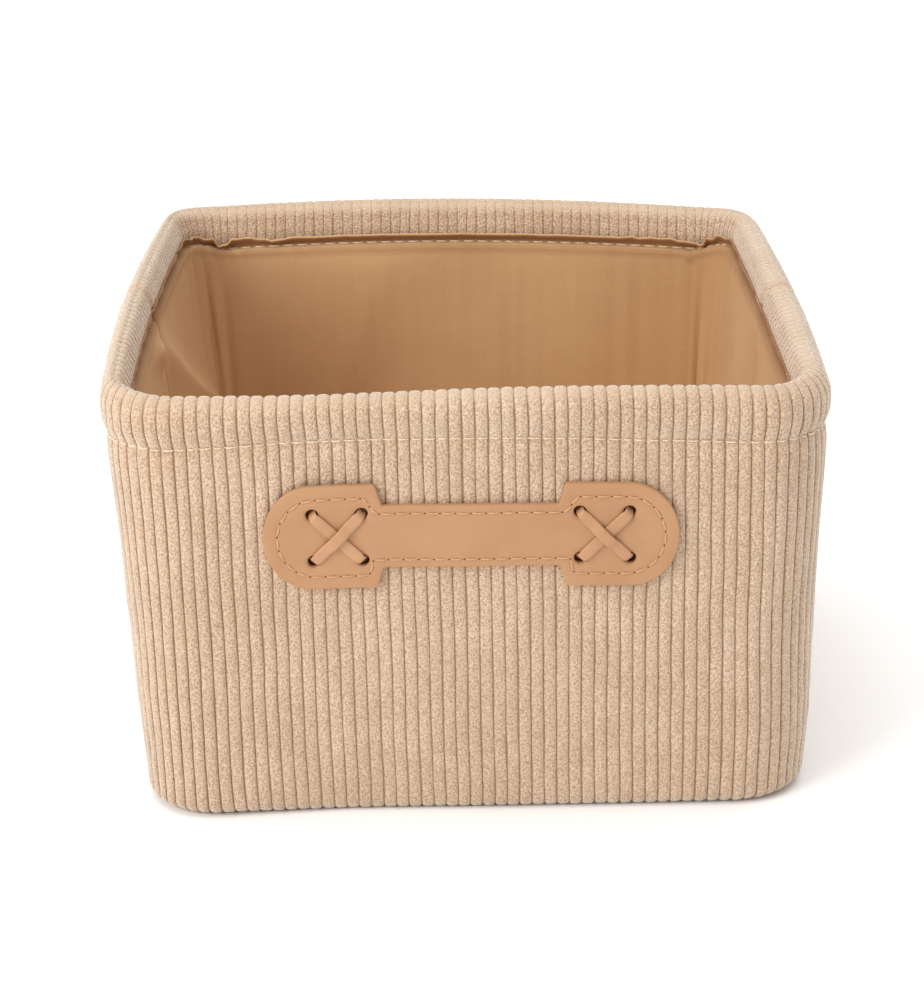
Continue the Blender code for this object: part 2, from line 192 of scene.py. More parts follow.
def slump(points):
    """The real bin is soft and stands a few millimetres out of true. This moves points of the
    straight model to where they stand, in millimetres at the rim, the waist or the foot."""
    points = np.array(points, float)
    z = points[..., 2]
    x, y = points[..., 0] / RIM_HALF, points[..., 1] / RIM_HALF
    high = np.clip(z / HEIGHT, 0, 1)
    low, waist = 1 - high, 4 * high * (1 - high)
    left, right = np.clip(-x, 0, 1) ** 2, np.clip(x, 0, 1) ** 2
    front, middle = np.clip(-y, 0, 1) ** 2, np.clip(1 - y * y, 0, 1)
    upper, rim = np.clip((high - 0.7) / 0.3, 0, 1), np.clip((high - 0.9) / 0.1, 0, 1)
    # the rim sways and narrows, and its corners sink
    dx = high * (-1.6 * x + 1.5 * y - 1.3 * x * y - 4.1 * left * middle + 1.0 * right * middle)
    dy = high * (-0.7 * x + 0.2 * y - 0.3 * x * y)
    dz = high * (-1.8 * x + 0.3 * y - 0.7 * x * y - 3.1 * (x * x - 0.5) - 0.9 * (y * y - 0.5))
    dz -= high * front * (2.6 * left + 1.8 * right)
    # the front rim is pressed down left of its middle, and its corners spread
    dz -= rim * front * (3.5 * bell(x, -0.42, 0.5) + 0.9 * bell(x, 0.3, 0.4))
    dx += upper * front * (0.9 * right - 1.0 * left)
    # outside, the walls swell and the foot's corners flare
    deep, sideways = wall_share(points)
    outer = 1 - deep
    swell = low * (2.9 * right - 1.5 * left) + waist * (1.7 * right - 1.0 * left)
    flare = low * (2.8 * right - 1.5 * left) + 0.7 * waist * right
    dx += outer * (swell * middle + flare * front)
    drawn_in = 3.0 * np.clip(1 - x * x, 0, 1) + 2.6 * bell(x, -0.36, 0.26)
    dy -= outer * low * front * (9.5 * left + 2.6 * right - drawn_in)
    # the hem sags round the front corners
    dz -= outer * bell(z, HEM_Z, 0.016) * front * (4.2 * left + 3.4 * right)
    # inside, the side walls are pressed thinner and their seam rides higher
    pressed = deep * sideways * smooth(0.45, 0.90, high)
    dx += pressed * np.where(x < 0, -4.0 - 1.5 * y * y, 0.5 + 2.5 * y * y)
    dz += 4.0 * pressed * bell(z, STITCH_Z, 0.022)
    return points + np.stack([dx, dy, dz], axis=-1) * MM


def mesh_object(name, points, faces, uv=None, stand=slump):
    """points (n, 3), faces (m, 3 or 4) indices, uv (n, 2) per point. stand says how the points slump."""
    mesh = bpy.data.meshes.new(name)
    points = np.asarray(stand(points) if stand else points, np.float32)
    faces = np.asarray(faces, np.int32)
    mesh.vertices.add(len(points))
    mesh.vertices.foreach_set("co", points.ravel())
    mesh.loops.add(faces.size)
    mesh.loops.foreach_set("vertex_index", faces.ravel())
    mesh.polygons.add(len(faces))
    starts = np.arange(len(faces), dtype=np.int32) * faces.shape[1]
    mesh.polygons.foreach_set("loop_start", starts)
    mesh.update(calc_edges=True)
    mesh.validate()
    if uv is not None and len(mesh.loops) == faces.size:
        layer = mesh.uv_layers.new(name="cloth")
        layer.data.foreach_set("uv", np.asarray(uv, np.float32)[faces.ravel()].ravel())
    mesh.shade_smooth()
    obj = bpy.data.objects.new(name, mesh)
    bpy.context.scene.collection.objects.link(obj)
    return obj


def grid_faces(rows, columns, wrap=False):
    """Quads of a grid stored row by row."""
    index = np.arange(rows * columns).reshape(rows, columns)
    if wrap:
        index = np.concatenate([index, index[:, :1]], axis=1)
    corners = [index[:-1, :-1], index[:-1, 1:], index[1:, 1:], index[1:, :-1]]
    return np.stack(corners, axis=-1).reshape(-1, 4)


def halved(quads):
    """Two triangles for each quad."""
    return np.concatenate([quads[:, [0, 1, 2]], quads[:, [0, 2, 3]]])


def tube_faces(rows, sides):
    """Triangles of a tube of rings, closed by two tip points stored after them."""
    first, last = np.arange(sides), (rows - 1) * sides + np.arange(sides)
    tip = np.full(sides, rows * sides)
    start = np.stack([np.roll(first, -1), first, tip], axis=1)
    end = np.stack([last, np.roll(last, -1), tip + 1], axis=1)
    return np.concatenate([halved(grid_faces(rows, sides, wrap=True)), start, end])


def along_line(points):
    """How far each point of a line of points lies along it, from 0."""
    steps = np.linalg.norm(np.diff(points, axis=0), axis=1)
    return np.concatenate([[0.0], np.cumsum(steps)])


def unit(vectors):
    """The same directions with length 1."""
    return vectors / np.linalg.norm(vectors, axis=-1, keepdims=True)


def attach(obj, material, body, node=None):
    """Gives a piece its material and its body, and hides the solid it stands for."""
    obj.data.materials.append(MATERIALS[material])
    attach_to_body(obj, body)
    if node:
        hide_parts(node)


# ---------------------------------------------------------------- plan of the walls


def wall_radius(half_size, bow):
    """Radius of a wall's arc that bows out by bow between the corners."""
    chord = half_size - CORNER
    return (chord * chord + bow * bow) / (2 * bow)


def plan(z, back):
    """Arcs of one quarter of the outline at heights z, with the lengths along them."""
    share = np.asarray(z, float) / HEIGHT
    width = FOOT_HALF_WIDTH + (RIM_HALF - FOOT_HALF_WIDTH) * share
    depth = FOOT_HALF_DEPTH + (RIM_HALF - FOOT_HALF_DEPTH) * share
    bow = FOOT_BOW_SHARE + (1 - FOOT_BOW_SHARE) * share
    side = wall_radius(depth, SIDE_BOW * bow)
    wall = wall_radius(width, (BACK_BOW if back else FRONT_BOW) * bow)
    ax, by = width - side, depth - wall
    span = np.hypot(ax, by)
    along = ((side - CORNER) ** 2 - (wall - CORNER) ** 2 + span**2) / (2 * span)
    across = np.sqrt((side - CORNER) ** 2 - along**2)
    ux, uy = -ax / span, by / span
    px, py = ax + ux * along, uy * along
    cx = np.where(px - uy * across > 0, px - uy * across, px + uy * across)
    cy = np.where(px - uy * across > 0, py + ux * across, py - ux * across)
    other_x, other_y = px + uy * across, py - ux * across
    pick = (other_x + other_y) > (cx + cy)
    cx, cy = np.where(pick, other_x, cx), np.where(pick, other_y, cy)
    wall_turn = np.arctan2(cx, cy - by)
    side_turn = np.arctan2(cy, cx - ax)
    corner_turn = math.pi / 2 - wall_turn - side_turn
    lengths = (wall * wall_turn, CORNER * corner_turn, side * side_turn)
    return dict(side=side, wall=wall, ax=ax, by=by, cx=cx, cy=cy, wall_turn=wall_turn,
                side_turn=side_turn, lengths=lengths, half=sum(lengths))


def half_length(z, back):
    """Length of the outline from a wall's middle to the side seam."""
    return float(plan(z, back)["half"])


def outline(s, z, back):
    """Point (x, y) and outward normal on the outer outline, s along it from the wall's middle."""
    p = plan(z, back)
    s, z = np.broadcast_arrays(np.asarray(s, float), np.asarray(z, float))
    reach = np.abs(s)
    first, second, _ = p["lengths"]
    turn_wall = reach / p["wall"]
    turn_corner = p["wall_turn"] + (reach - first) / CORNER
    turn_side = math.pi / 2 - p["side_turn"] + (reach - first - second) / p["side"]
    on_wall, on_side = reach <= first, reach > first + second
    turn = np.where(on_wall, turn_wall, np.where(on_side, turn_side, turn_corner))
    radius = np.where(on_wall, p["wall"], np.where(on_side, p["side"], CORNER))
    ox = np.where(on_wall, 0.0, np.where(on_side, p["ax"], p["cx"]))
    oy = np.where(on_wall, p["by"], np.where(on_side, 0.0, p["cy"]))
    nx, ny = np.sin(turn), np.cos(turn)
    x, y = ox + radius * nx, oy + radius * ny
    way = np.where(s < 0, -1.0, 1.0)
    facing = 1.0 if back else -1.0
    return x * way, y * facing, nx * way, ny * facing


def place(s, z, back, inset, tilt_out=0.0, tilt_up=0.0, push=0.0):
    """Points at outline position s and height z, inset below the face, then pushed along a
    tilted normal."""
    x, y, nx, ny = outline(s, z, back)
    out = push * tilt_out - inset
    return np.stack(np.broadcast_arrays(x + nx * out, y + ny * out, z + push * tilt_up), axis=-1)


# ---------------------------------------------------------------- materials


class Nodes:
    """Lays out a material's nodes. A value is a number, a tuple or another node's output."""

    def __init__(self, name):
        self.material = bpy.data.materials.new(name)
        self.material.use_nodes = True
        self.tree = self.material.node_tree
        self.shader = self.tree.nodes["Principled BSDF"]

    def feed(self, socket, value):
        if isinstance(value, bpy.types.NodeSocket):
            self.tree.links.new(value, socket)
        elif socket.type == "RGBA":
            socket.default_value = (*value, 1.0)
        else:
            socket.default_value = value

    def node(self, kind, output, inputs=None, **settings):
        """The named or numbered output of a new node."""
        node = self.tree.nodes.new("ShaderNode" + kind)
        for key, value in settings.items():
            setattr(node, key, value)
        for socket, value in (inputs or {}).items():
            self.feed(node.inputs[socket], value)
        return node.outputs[output]

    def math(self, operation, a, *more):
        return self.node("Math", 0, dict(enumerate((a, *more))), operation=operation)

    def product(self, first, *others):
        for other in others:
            first = self.math("MULTIPLY", first, other)
        return first

    def total(self, first, *others):
        for other in others:
            first = self.math("ADD", first, other)
        return first

    def ramp(self, value, low, high):
        """Value mapped smoothly from low..high to 0..1."""
        return self.node("MapRange", "Result", {"Value": value, "From Min": low, "From Max": high},
                         interpolation_type="SMOOTHSTEP")

    def blend(self, factor, a, b):
        return self.node("Mix", 2, {0: factor, 6: a, 7: b}, data_type="RGBA")

    def noise(self, vector, scale, detail=2.0, roughness=0.5):
        return self.node("TexNoise", "Fac", {"Vector": vector, "Scale": scale,
                                             "Detail": detail, "Roughness": roughness})

    def cells(self, vector, scale, dimensions="3D"):
        return self.node("TexVoronoi", "Distance", {"Vector": vector, "Scale": scale},
                         voronoi_dimensions=dimensions)

    def position(self):
        return self.node("TexCoord", "Object")

    def stretched(self, vector, scale):
        return self.node("Mapping", "Vector", {"Vector": vector, "Scale": scale})

    def finish(self, colour, height, distance, strength, **settings):
        """Joins the colour and a bump, and sets the shader's other sockets."""
        bump = {"Height": height, "Distance": distance, "Strength": strength}
        self.feed(self.shader.inputs["Base Color"], colour)
        self.feed(self.shader.inputs["Normal"], self.node("Bump", "Normal", bump))
        for name, value in settings.items():
            self.feed(self.shader.inputs[name.replace("_", " ")], value)
        return self.material


def srgb(r, g, b):
    """Linear colour from 0-255 sRGB."""
    return tuple(c / 3294.6 if c <= 10 else ((c / 255 + 0.055) / 1.055) ** 2.4 for c in (r, g, b))


def corduroy_material(name):
    m = Nodes(name)
    place3 = m.position()
    uv = m.node("UVMap", "UV", uv_map="cloth")
    across = m.node("SeparateXYZ", "X", {0: uv})
    facing_up = m.node("SeparateXYZ", "Z", {0: m.node("NewGeometry", "Normal")})
    # painted sheen: the colour changes with how far the surface faces up, hiding the ribs on top of the roll
    # and greying it as lit pile looks
    up_facing_sheen = m.ramp(facing_up, 0.40, 0.95)
    # the pile's tufts leave small pits between them, about four to a rib
    tufts = m.node("VectorMath", "Vector",
                   {0: uv, 1: (4.3, 3.6, 0.0), 2: m.noise(place3, 420.0)}, operation="MULTIPLY_ADD")
    pit = m.ramp(m.cells(tufts, 1.0, "2D"), 0.50, 0.08)
    grain = m.noise(place3, 1250.0, 3.0, 0.7)
    fibres = m.noise(place3, 1900.0, 3.0, 0.7)
    patches = m.noise(place3, 42.0, 3.0, 0.55)
    wide = m.noise(place3, 14.0)
    dark = srgb(138, 104, 76)
    # painted shade: the grooves between the ribs are darkened in the colour, on top of the shade their relief
    # casts
    phase = m.math("FRACT", m.total(across, 0.44, m.product(grain, 0.12)))
    groove_shade = m.ramp(m.math("ABSOLUTE", m.math("SUBTRACT", phase, 0.5)), 0.385, 0.485)
    colour = m.blend(m.ramp(patches, 0.35, 0.68), srgb(200, 172, 143), srgb(211, 184, 157))
    colour = m.blend(m.product(m.ramp(wide, 0.40, 0.75), 0.30), colour, srgb(198, 165, 135))
    # where the surface faces up, the painted sheen takes out the speckle and the painted groove shade below
    plain = m.math("SUBTRACT", 1.0, m.product(up_facing_sheen, 0.75))
    for share, amount, tint in (
        (pit, 0.32, dark),
        (m.ramp(grain, 0.56, 0.38), 0.50, dark),
        (m.ramp(fibres, 0.50, 0.66), 0.56, srgb(238, 219, 196)),
        (groove_shade, 0.66, srgb(140, 96, 58)),
    ):
        colour = m.blend(m.product(share, amount, plain), colour, tint)
    # painted sheen: surfaces facing up are blended towards a greyer tone
    colour = m.blend(m.product(up_facing_sheen, 0.50), colour, srgb(184, 162, 137))
    height = m.total(m.product(m.math("SUBTRACT", 1.0, pit), 0.6), m.product(grain, 0.6),
                     m.product(fibres, 0.3))
    return m.finish(colour, height, 0.00040, 0.75, Roughness=0.92, Specular_IOR_Level=0.15,
                    Sheen_Weight=1.0, Sheen_Roughness=0.42, Sheen_Tint=srgb(250, 247, 240))


def lining_material(name):
    m = Nodes(name)
    place3 = m.position()
    fine = m.noise(place3, 1500.0, 2.0, 0.6)
    slubs = m.noise(m.stretched(place3, (90.0, 90.0, 900.0)), 1.0)
    threads = m.noise(m.stretched(place3, (900.0, 900.0, 120.0)), 1.0)
    broad = m.noise(place3, 16.0)
    # painted shade: the seam attribute darkens the lining in the crease under its folded top edge and, on the
    # side walls, under the roll
    seam = m.node("Attribute", "Fac", attribute_name="seam")
    colour = m.blend(m.ramp(broad, 0.3, 0.7), srgb(190, 150, 108), srgb(199, 160, 118))
    for share, amount, tint in (
        (m.ramp(slubs, 0.45, 0.8), 0.10, srgb(216, 180, 138)),
        (m.ramp(threads, 0.5, 0.2), 0.10, srgb(170, 128, 88)),
        (seam, 0.64, srgb(118, 74, 44)),
    ):
        colour = m.blend(m.product(share, amount), colour, tint)
    height = m.product(m.total(slubs, threads, fine), 0.5)
    return m.finish(colour, height, 0.00010, 0.6, Roughness=0.85, Specular_IOR_Level=0.2,
                    Sheen_Weight=0.15, Sheen_Roughness=0.5, Sheen_Tint=srgb(235, 214, 186))


def leather_material(name, light, dark, roughness=0.48):
    m = Nodes(name)
    place3 = m.position()
    wrinkles = m.noise(place3, 700.0, 4.0, 0.6)
    colour = m.blend(m.ramp(m.noise(place3, 55.0, 3.0), 0.3, 0.7), light, dark)
    colour = m.blend(m.product(m.ramp(wrinkles, 0.55, 0.3), 0.16), colour, srgb(176, 124, 86))
    height = m.total(m.product(m.cells(place3, 2100.0), 0.6), wrinkles)
    return m.finish(colour, height, 0.00008, 0.5, Specular_IOR_Level=0.35,
                    Roughness=m.total(roughness - 0.06, m.product(wrinkles, 0.14)))


def thread_material(name, light, dark):
    m = Nodes(name)
    ply = m.noise(m.stretched(m.position(), (2200.0, 2200.0, 2200.0)), 1.0, 1.0)
    return m.finish(m.blend(m.ramp(ply, 0.35, 0.65), dark, light), ply, 0.0001, 0.6,
                    Roughness=0.6, Sheen_Weight=0.2)


def plain_material(name, light, dark, scale, roughness, metallic=0.0, depth=0.0002):
    """Foam, board, wire and tape: two tones of noise with a matching bump."""
    m = Nodes(name)
    grain = m.noise(m.position(), scale, 4.0, 0.6)
    return m.finish(m.blend(m.ramp(grain, 0.35, 0.65), dark, light), grain, depth, 0.5,
                    Roughness=roughness, Metallic=metallic)


MATERIALS = {
    "corduroy": corduroy_material("corduroy"),
    "lining": lining_material("lining_cloth"),
    "leather": leather_material("strap_leather", srgb(183, 138, 99), srgb(177, 131, 93)),
    "leather_back": leather_material("strap_backing", srgb(166, 124, 92), srgb(157, 114, 83), 0.62),
    "lace": leather_material("lace_leather", srgb(190, 144, 106), srgb(182, 135, 98), 0.42),
    "thread_tan": thread_material("strap_thread", srgb(208, 164, 120), srgb(186, 142, 102)),
    "thread_cream": thread_material("hem_thread", srgb(240, 222, 196), srgb(214, 188, 156)),
    # needle: painted shade, a dark colour for the needle holes and the bottoms of the lace holes, which are
    # dark only from shade
    "needle": plain_material("painted_hole_shade", srgb(96, 58, 36), srgb(72, 42, 26), 900.0, 0.9),
    "foam": plain_material("foam", srgb(232, 228, 214), srgb(214, 208, 190), 900.0, 0.95),
    "board": plain_material("pressed_board", srgb(160, 142, 116), srgb(134, 116, 92), 500.0, 0.9),
    "wire": plain_material("drawn_steel", srgb(168, 168, 170), srgb(150, 150, 152), 700.0, 0.35,
                           1.0, 0.00003),
    "tape": plain_material("woven_tape", srgb(228, 220, 200), srgb(208, 198, 176), 1400.0, 0.9),
}


# ---------------------------------------------------------------- corduroy


def cover_rows():
    """Profile of the corduroy by rows: inset, height, outward and upward parts of its normal."""
    top, band = HEIGHT - ROLL, 0.0045
    rows = [(inset, 0.0, 0.0, -1.0) for inset in np.linspace(FOOT_HEM, FOOT_CURVE, 5)[:-1]]
    for angle in np.linspace(0, math.pi / 2, 8):
        sin, cos = math.sin(angle), math.cos(angle)
        rows.append((FOOT_CURVE * (1 - sin), FOOT_CURVE * (1 - cos), sin, -cos))
    stops = (FOOT_CURVE, HEM_Z - band, HEM_Z + band, top)
    for low, high, count in zip(stops, stops[1:], (60, 13, 6)):
        for z in np.linspace(low, high, count)[1:]:
            rows.append((0.0, z, math.cos(LEAN), -math.sin(LEAN)))
    for angle in np.linspace(0, math.pi, 17)[1:]:
        sin, cos = math.sin(angle), math.cos(angle)
        rows.append((ROLL * (1 - cos), top + ROLL * sin, cos, sin))
    rows += [(2 * ROLL, z, -1.0, 0.0) for z in np.linspace(top, HEIGHT - FACING_DROP, 9)[1:]]
    return np.array(rows)


def wale_height(phase):
    """Cross section of the ribs, 0 in the groove and 1 on the crown."""
    across = np.minimum(np.abs(phase - np.round(phase)) * 2, 1.0)
    return (1 - across**3.2) ** 0.70


def softness(s, z, back):
    """Slow in and out of the padded wall, in metres."""
    seed = 31 if back else 11
    slow = layered_noise(s / 0.062, z / 0.075, 0.0, seed) * 0.9 * MM
    quick = layered_noise(s / 0.021, z / 0.034, 5.0, seed) * 0.30 * MM
    return (slow + quick + 0.3 * MM) * smooth(0.0, 0.03, z) * smooth(HEIGHT + 0.002, HEIGHT - 0.02, z)


def beside_share(s, half):
    """0 where a panel faces front or back, 1 where it is clear of the corner on a side wall."""
    return smooth(half - SIDE_REACH, half - SIDE_FLAT, np.abs(s))


def corduroy_half(name, back, pitch, node):
    """One ribbed panel, from the foot's hem up the wall, over the roll and down to the facing's edge."""
    rows = cover_rows()
    inset, z, out, up = (rows[:, k][:, None] for k in range(4))
    half = plan(z, back)["half"]
    wales = int(np.ceil(half.max() / pitch)) + 1
    phase = (np.arange(-wales, wales + 1)[:, None] + RIB_STEPS).ravel()[None, :]
    over = np.abs(phase * pitch) > half
    s = np.clip(phase * pitch, -half, half)
    phase = s / pitch
    rib = np.round(phase)
    outside = out > 0.5
    # the cloth shifts a little sideways, so the ribs aren't ruled lines
    seed = 71 if back else 51
    wander = layered_noise(s / 0.03, z / 0.035, 0.0, seed) * 0.45 * MM
    wander += value_noise(rib * 7.3, z / 0.012, 0.0, seed + 1) * 0.16 * MM
    from_seam = half - np.abs(s)
    wander = wander * smooth(0.0, 0.012, from_seam)
    # ribs are shallower on the roll, and pressed flat by the hem's stitches
    body = 1 + 0.10 * value_noise(rib * 3.7, z / 0.008, 0.0, seed + 2)
    hem, hem_wide = bell(z, HEM_Z, 0.0011) * outside, bell(z, HEM_Z, 0.004) * outside
    on_roll = smooth(HEIGHT - 0.011, HEIGHT - 0.004, z) * (out > 0) + (out <= 0) * (up > -0.5)
    depth = WALE_DEPTH * (1 - (0.62 if back else 0.50 * beside_share(s, half)) * on_roll)
    push = depth * (wale_height(phase) * body * (1 - 0.45 * hem) - 0.72)
    push = push - 0.35 * MM * hem - 0.55 * MM * hem_wide
    # the roll is fuller than the wall below it
    push = push + 1.2 * MM * smooth(HEIGHT - 0.0165, HEIGHT - 0.009, z) * (out > 0.0)
    seam = bell(from_seam, 0.0, 0.0022)
    push = push * (1 - 0.5 * seam) - 1.7 * MM * seam
    push = push + softness(s, z, back) * outside
    # and its inner side hangs over the lining's seam
    hang = smooth(HEIGHT - FACING_DROP, STITCH_Z + 0.004, z)
    hang = hang * smooth(HEIGHT - ROLL + 0.001, STITCH_Z + 0.006, z)
    push = push + 1.3 * MM * (out < -0.5) * hang
    # dents where the laces go through
    for hole_s, hole_h in HOLES:
        far = np.hypot(s - hole_s, z - (HANDLE_Z + hole_h))
        push = push - 1.6 * MM * smooth(0.0034, 0.0020, far) * outside
    points = place(s + wander, z, back, inset, out, up, push)
    faces = grid_faces(len(rows), points.shape[1])
    faces = faces[~over.ravel()[faces].all(axis=1)]
    if not back:
        faces = faces[:, ::-1]
    v = along_line(rows[:, :2])
    uv = np.stack(np.broadcast_arrays(phase, v[:, None] / pitch), axis=-1)
    obj = mesh_object(name, points.reshape(-1, 3), faces, uv.reshape(-1, 2))
    clean(obj)
    attach(obj, "corduroy", "bin", node)


def clean(obj):
    """Merge doubled points and drop the loose ones."""
    shape = bmesh.new()
    shape.from_mesh(obj.data)
    bmesh.ops.remove_doubles(shape, verts=shape.verts, dist=1e-6)
    bmesh.ops.dissolve_degenerate(shape, edges=shape.edges, dist=1e-7)
    loose = [v for v in shape.verts if not v.link_faces]
    bmesh.ops.delete(shape, geom=loose, context="VERTS")
    shape.to_mesh(obj.data)
    shape.free()
    obj.data.shade_smooth()


corduroy_half("front_corduroy", False, WALE_FRONT, "front_cover")
corduroy_half("rear_corduroy", True, WALE_REAR, "rear_cover")


# ---------------------------------------------------------------- lining


def lining_step(z):
    """How much deeper the lining lies near its top, over the corduroy's turned-in facing."""
    return LINING_STEP * smooth(LINING_STEP_LOW, LINING_STEP_HIGH, z)


def settle(obj, pinned, collider, slack=0.008, frames=26):
    """Let the cloth hang between its sewn edges, against the padded wall."""
    group = obj.vertex_groups.new(name="sewn")
    group.add([int(k) for k in pinned], 1.0, "REPLACE")
    collision = collider.modifiers.new("wall", "COLLISION")
    collider.collision.thickness_outer = 0.0004
    collider.collision.thickness_inner = 0.004
    collider.collision.cloth_friction = 8
    cloth = obj.modifiers.new("cloth", "CLOTH")
    woven = dict(quality=7, mass=0.12, air_damping=3.0, tension_stiffness=30,
                 compression_stiffness=30, shear_stiffness=12, bending_stiffness=1.2,
                 bending_damping=1.0, vertex_group_mass="sewn", shrink_min=-slack)
    for key, value in woven.items():
        setattr(cloth.settings, key, value)
    cloth.collision_settings.use_collision = True
    cloth.collision_settings.distance_min = 0.0006
    cloth.collision_settings.collision_quality = 3
    cloth.point_cache.frame_start = 1
    cloth.point_cache.frame_end = frames
    scene = bpy.context.scene
    for number in range(1, frames + 1):
        scene.frame_set(number)
    graph = bpy.context.evaluated_depsgraph_get()
    settled = obj.evaluated_get(graph).to_mesh()
    points = np.empty(len(settled.vertices) * 3, np.float32)
    settled.vertices.foreach_get("co", points)
    obj.evaluated_get(graph).to_mesh_clear()
    obj.modifiers.remove(cloth)
    obj.vertex_groups.clear()
    collider.modifiers.remove(collision)
    scene.frame_set(1)
    return points.reshape(-1, 3).astype(float)


def pucker(s, half, back):
    """How much the sewn edge ruffles: most at the corners, some along the sides."""
    near = bell(np.abs(s), half - SIDE_REACH - 0.012, 0.026)
    return 0.10 + (1.25 if back else 0.8) * np.maximum(near, 0.28 * beside_share(s, half))


def ridge(along, z, start, finish, width, height):
    """A fold running from start to finish, each (along the wall, height)."""
    ax, az = start
    dx, dz = finish[0] - ax, finish[1] - az
    length = math.hypot(dx, dz)
    t = ((along - ax) * dx + (z - az) * dz) / length**2
    off = ((along - ax) * dz - (z - az) * dx) / length
    ends = smooth(-0.12, 0.22, t) * smooth(1.25, 0.75, t)
    spread = np.where(off > 0, width * 2.4, width)
    return height * ends * np.exp(-np.abs(off / spread) ** 1.3)


def slack_folds(s, z, half, back):
    """Fullness of the loose lining, as how far it starts inward of the wall."""
    seed = 93 if back else 83
    from_seam = half - np.abs(s)
    folds = np.maximum(layered_noise(s / 0.060, z / 0.13, 0.0, seed) + 0.15, 0.0) * 4.0 * MM
    gathers = (value_noise(s / 0.0085, 0.3 * z / 0.05, 1.0, seed + 5) + 0.3) * 1.1 * MM
    gathers = gathers * pucker(s, half, back) * np.exp(-(STITCH_Z - z) / 0.016)
    free = smooth(LINING_LOW, 0.030, z) * smooth(STITCH_Z, STITCH_Z - 0.022, z)
    free = free * smooth(0.0, 0.012, from_seam)
    return (folds * free + gathers) * smooth(0.0, 0.004, from_seam)


def creases(s, z, half, back):
    """Folds pressed into the lining, which stay where it hangs: how far each lifts it off the wall."""
    seam = float(half.mean())
    if back:
        # soft diagonal hollows on the rear wall, and the left wall's fold running down into the corner
        folds = (
            ((-0.030, 0.150), (-0.082, 0.030), 0.016, 2.6),
            ((0.062, 0.150), (0.045, 0.030), 0.020, 1.6),
            ((-seam - 0.010, 0.143), (-seam + 0.105, 0.082), 0.0060, 5.0),
        )
    else:
        folds = (((-seam + 0.040, 0.156), (-seam - 0.010, 0.134), 0.0060, 4.0),)
    lifted = sum(ridge(s, z, start, finish, width, lift * MM) for start, finish, width, lift in folds)
    lifted = lifted * smooth(LINING_LOW, 0.030, z) * smooth(STITCH_Z, STITCH_Z - 0.012, z)
    return lifted * smooth(0.0, 0.010, half - np.abs(s))


def lining_cloth(name, back):
    """The lining below its stitch row, settled by cloth simulation. Returns a grid of points."""
    z = np.linspace(LINING_LOW, STITCH_Z, 58)[:, None]
    half = plan(z, back)["half"]
    s = np.linspace(-1, 1, 165)[None, :] * half
    sewn = np.zeros(s.shape, bool)
    sewn[0] = sewn[-1] = sewn[:, 0] = sewn[:, -1] = True
    inward = np.where(sewn, 0.0, slack_folds(s, z, half, back))
    points = place(s, z, back, LINING_START + lining_step(z) + inward)
    shape = points.shape
    faces = grid_faces(*shape[:2])
    cloth = mesh_object(name + "_cloth", points.reshape(-1, 3), faces, stand=None)
    around = np.linspace(-1, 1, 121)[None, :]
    levels = np.linspace(-0.004, HEIGHT - 0.008, 40)[:, None]
    backing = place(around * plan(levels, back)["half"], levels, back,
                    LINING_BACKING + lining_step(levels))
    faces = grid_faces(*backing.shape[:2])
    if not back:
        faces = faces[:, ::-1]
    wall = mesh_object(name + "_wall", backing.reshape(-1, 3), faces, stand=None)
    points = settle(cloth, np.flatnonzero(sewn.ravel()), wall).reshape(shape)
    bpy.data.objects.remove(cloth)
    bpy.data.objects.remove(wall)
    return points, s, z


def keep_inside(points, back):
    """Move points that a simulation pushed into the wall back onto its face, and cap how far
    others stand off."""
    z = points[..., 2]
    s = np.linspace(-1, 1, points.shape[1])[None, :] * plan(z, back)["half"]
    x, y, nx, ny = outline(s, z, back)
    wall = LINING_DEEP + lining_step(z)
    inward = (x - points[..., 0]) * nx + (y - points[..., 1]) * ny
    moved = inward - np.clip(inward, wall, wall + LINING_REACH)
    return points + np.stack([moved * nx, moved * ny, 0 * z], axis=-1)


# The lining's folded top edge by rows: depth in the wall, rise above the stitches, and how much painted shade
# it gets
LIP = np.array([
    (0.0126, 0.0005, 0.90), (0.0130, 0.0011, 1.00), (0.0138, 0.0019, 1.00), (0.0148, 0.0027, 0.80),
    (0.0155, 0.0033, 0.25), (0.0157, 0.0038, 0.00), (0.0150, 0.0041, 0.20), (0.0138, 0.0036, 0.90),
])


def lip_points(s, half, back):
    """The folded top edge, standing off the facing above its stitches."""
    inset, rise = LIP[:, 0][:, None], LIP[:, 1][:, None]
    seed = 91 if back else 81
    up = smooth(0.0004, 0.0030, rise)
    beside = beside_share(s, half)
    amount = pucker(s, half, back) * (1 - 0.25 * beside) * up
    ruffle = value_noise(s / 0.0044, 0.0, 0.0, seed) + 0.4 * value_noise(s / 0.0026, 0.0, 3.0, seed)
    ruffle = ruffle - 0.7 * bell(np.abs(s), half - SIDE_REACH - 0.004, 0.014)
    sway = value_noise(s / 0.0090, 4.0, 0.0, seed) + 0.3
    # beside the side walls' roll the edge lies back against the facing
    tucked = beside * up * 1.9 * MM
    return place(s, STITCH_Z + rise + amount * ruffle * 1.3 * MM, back,
                 inset - tucked + amount * sway * 1.8 * MM)


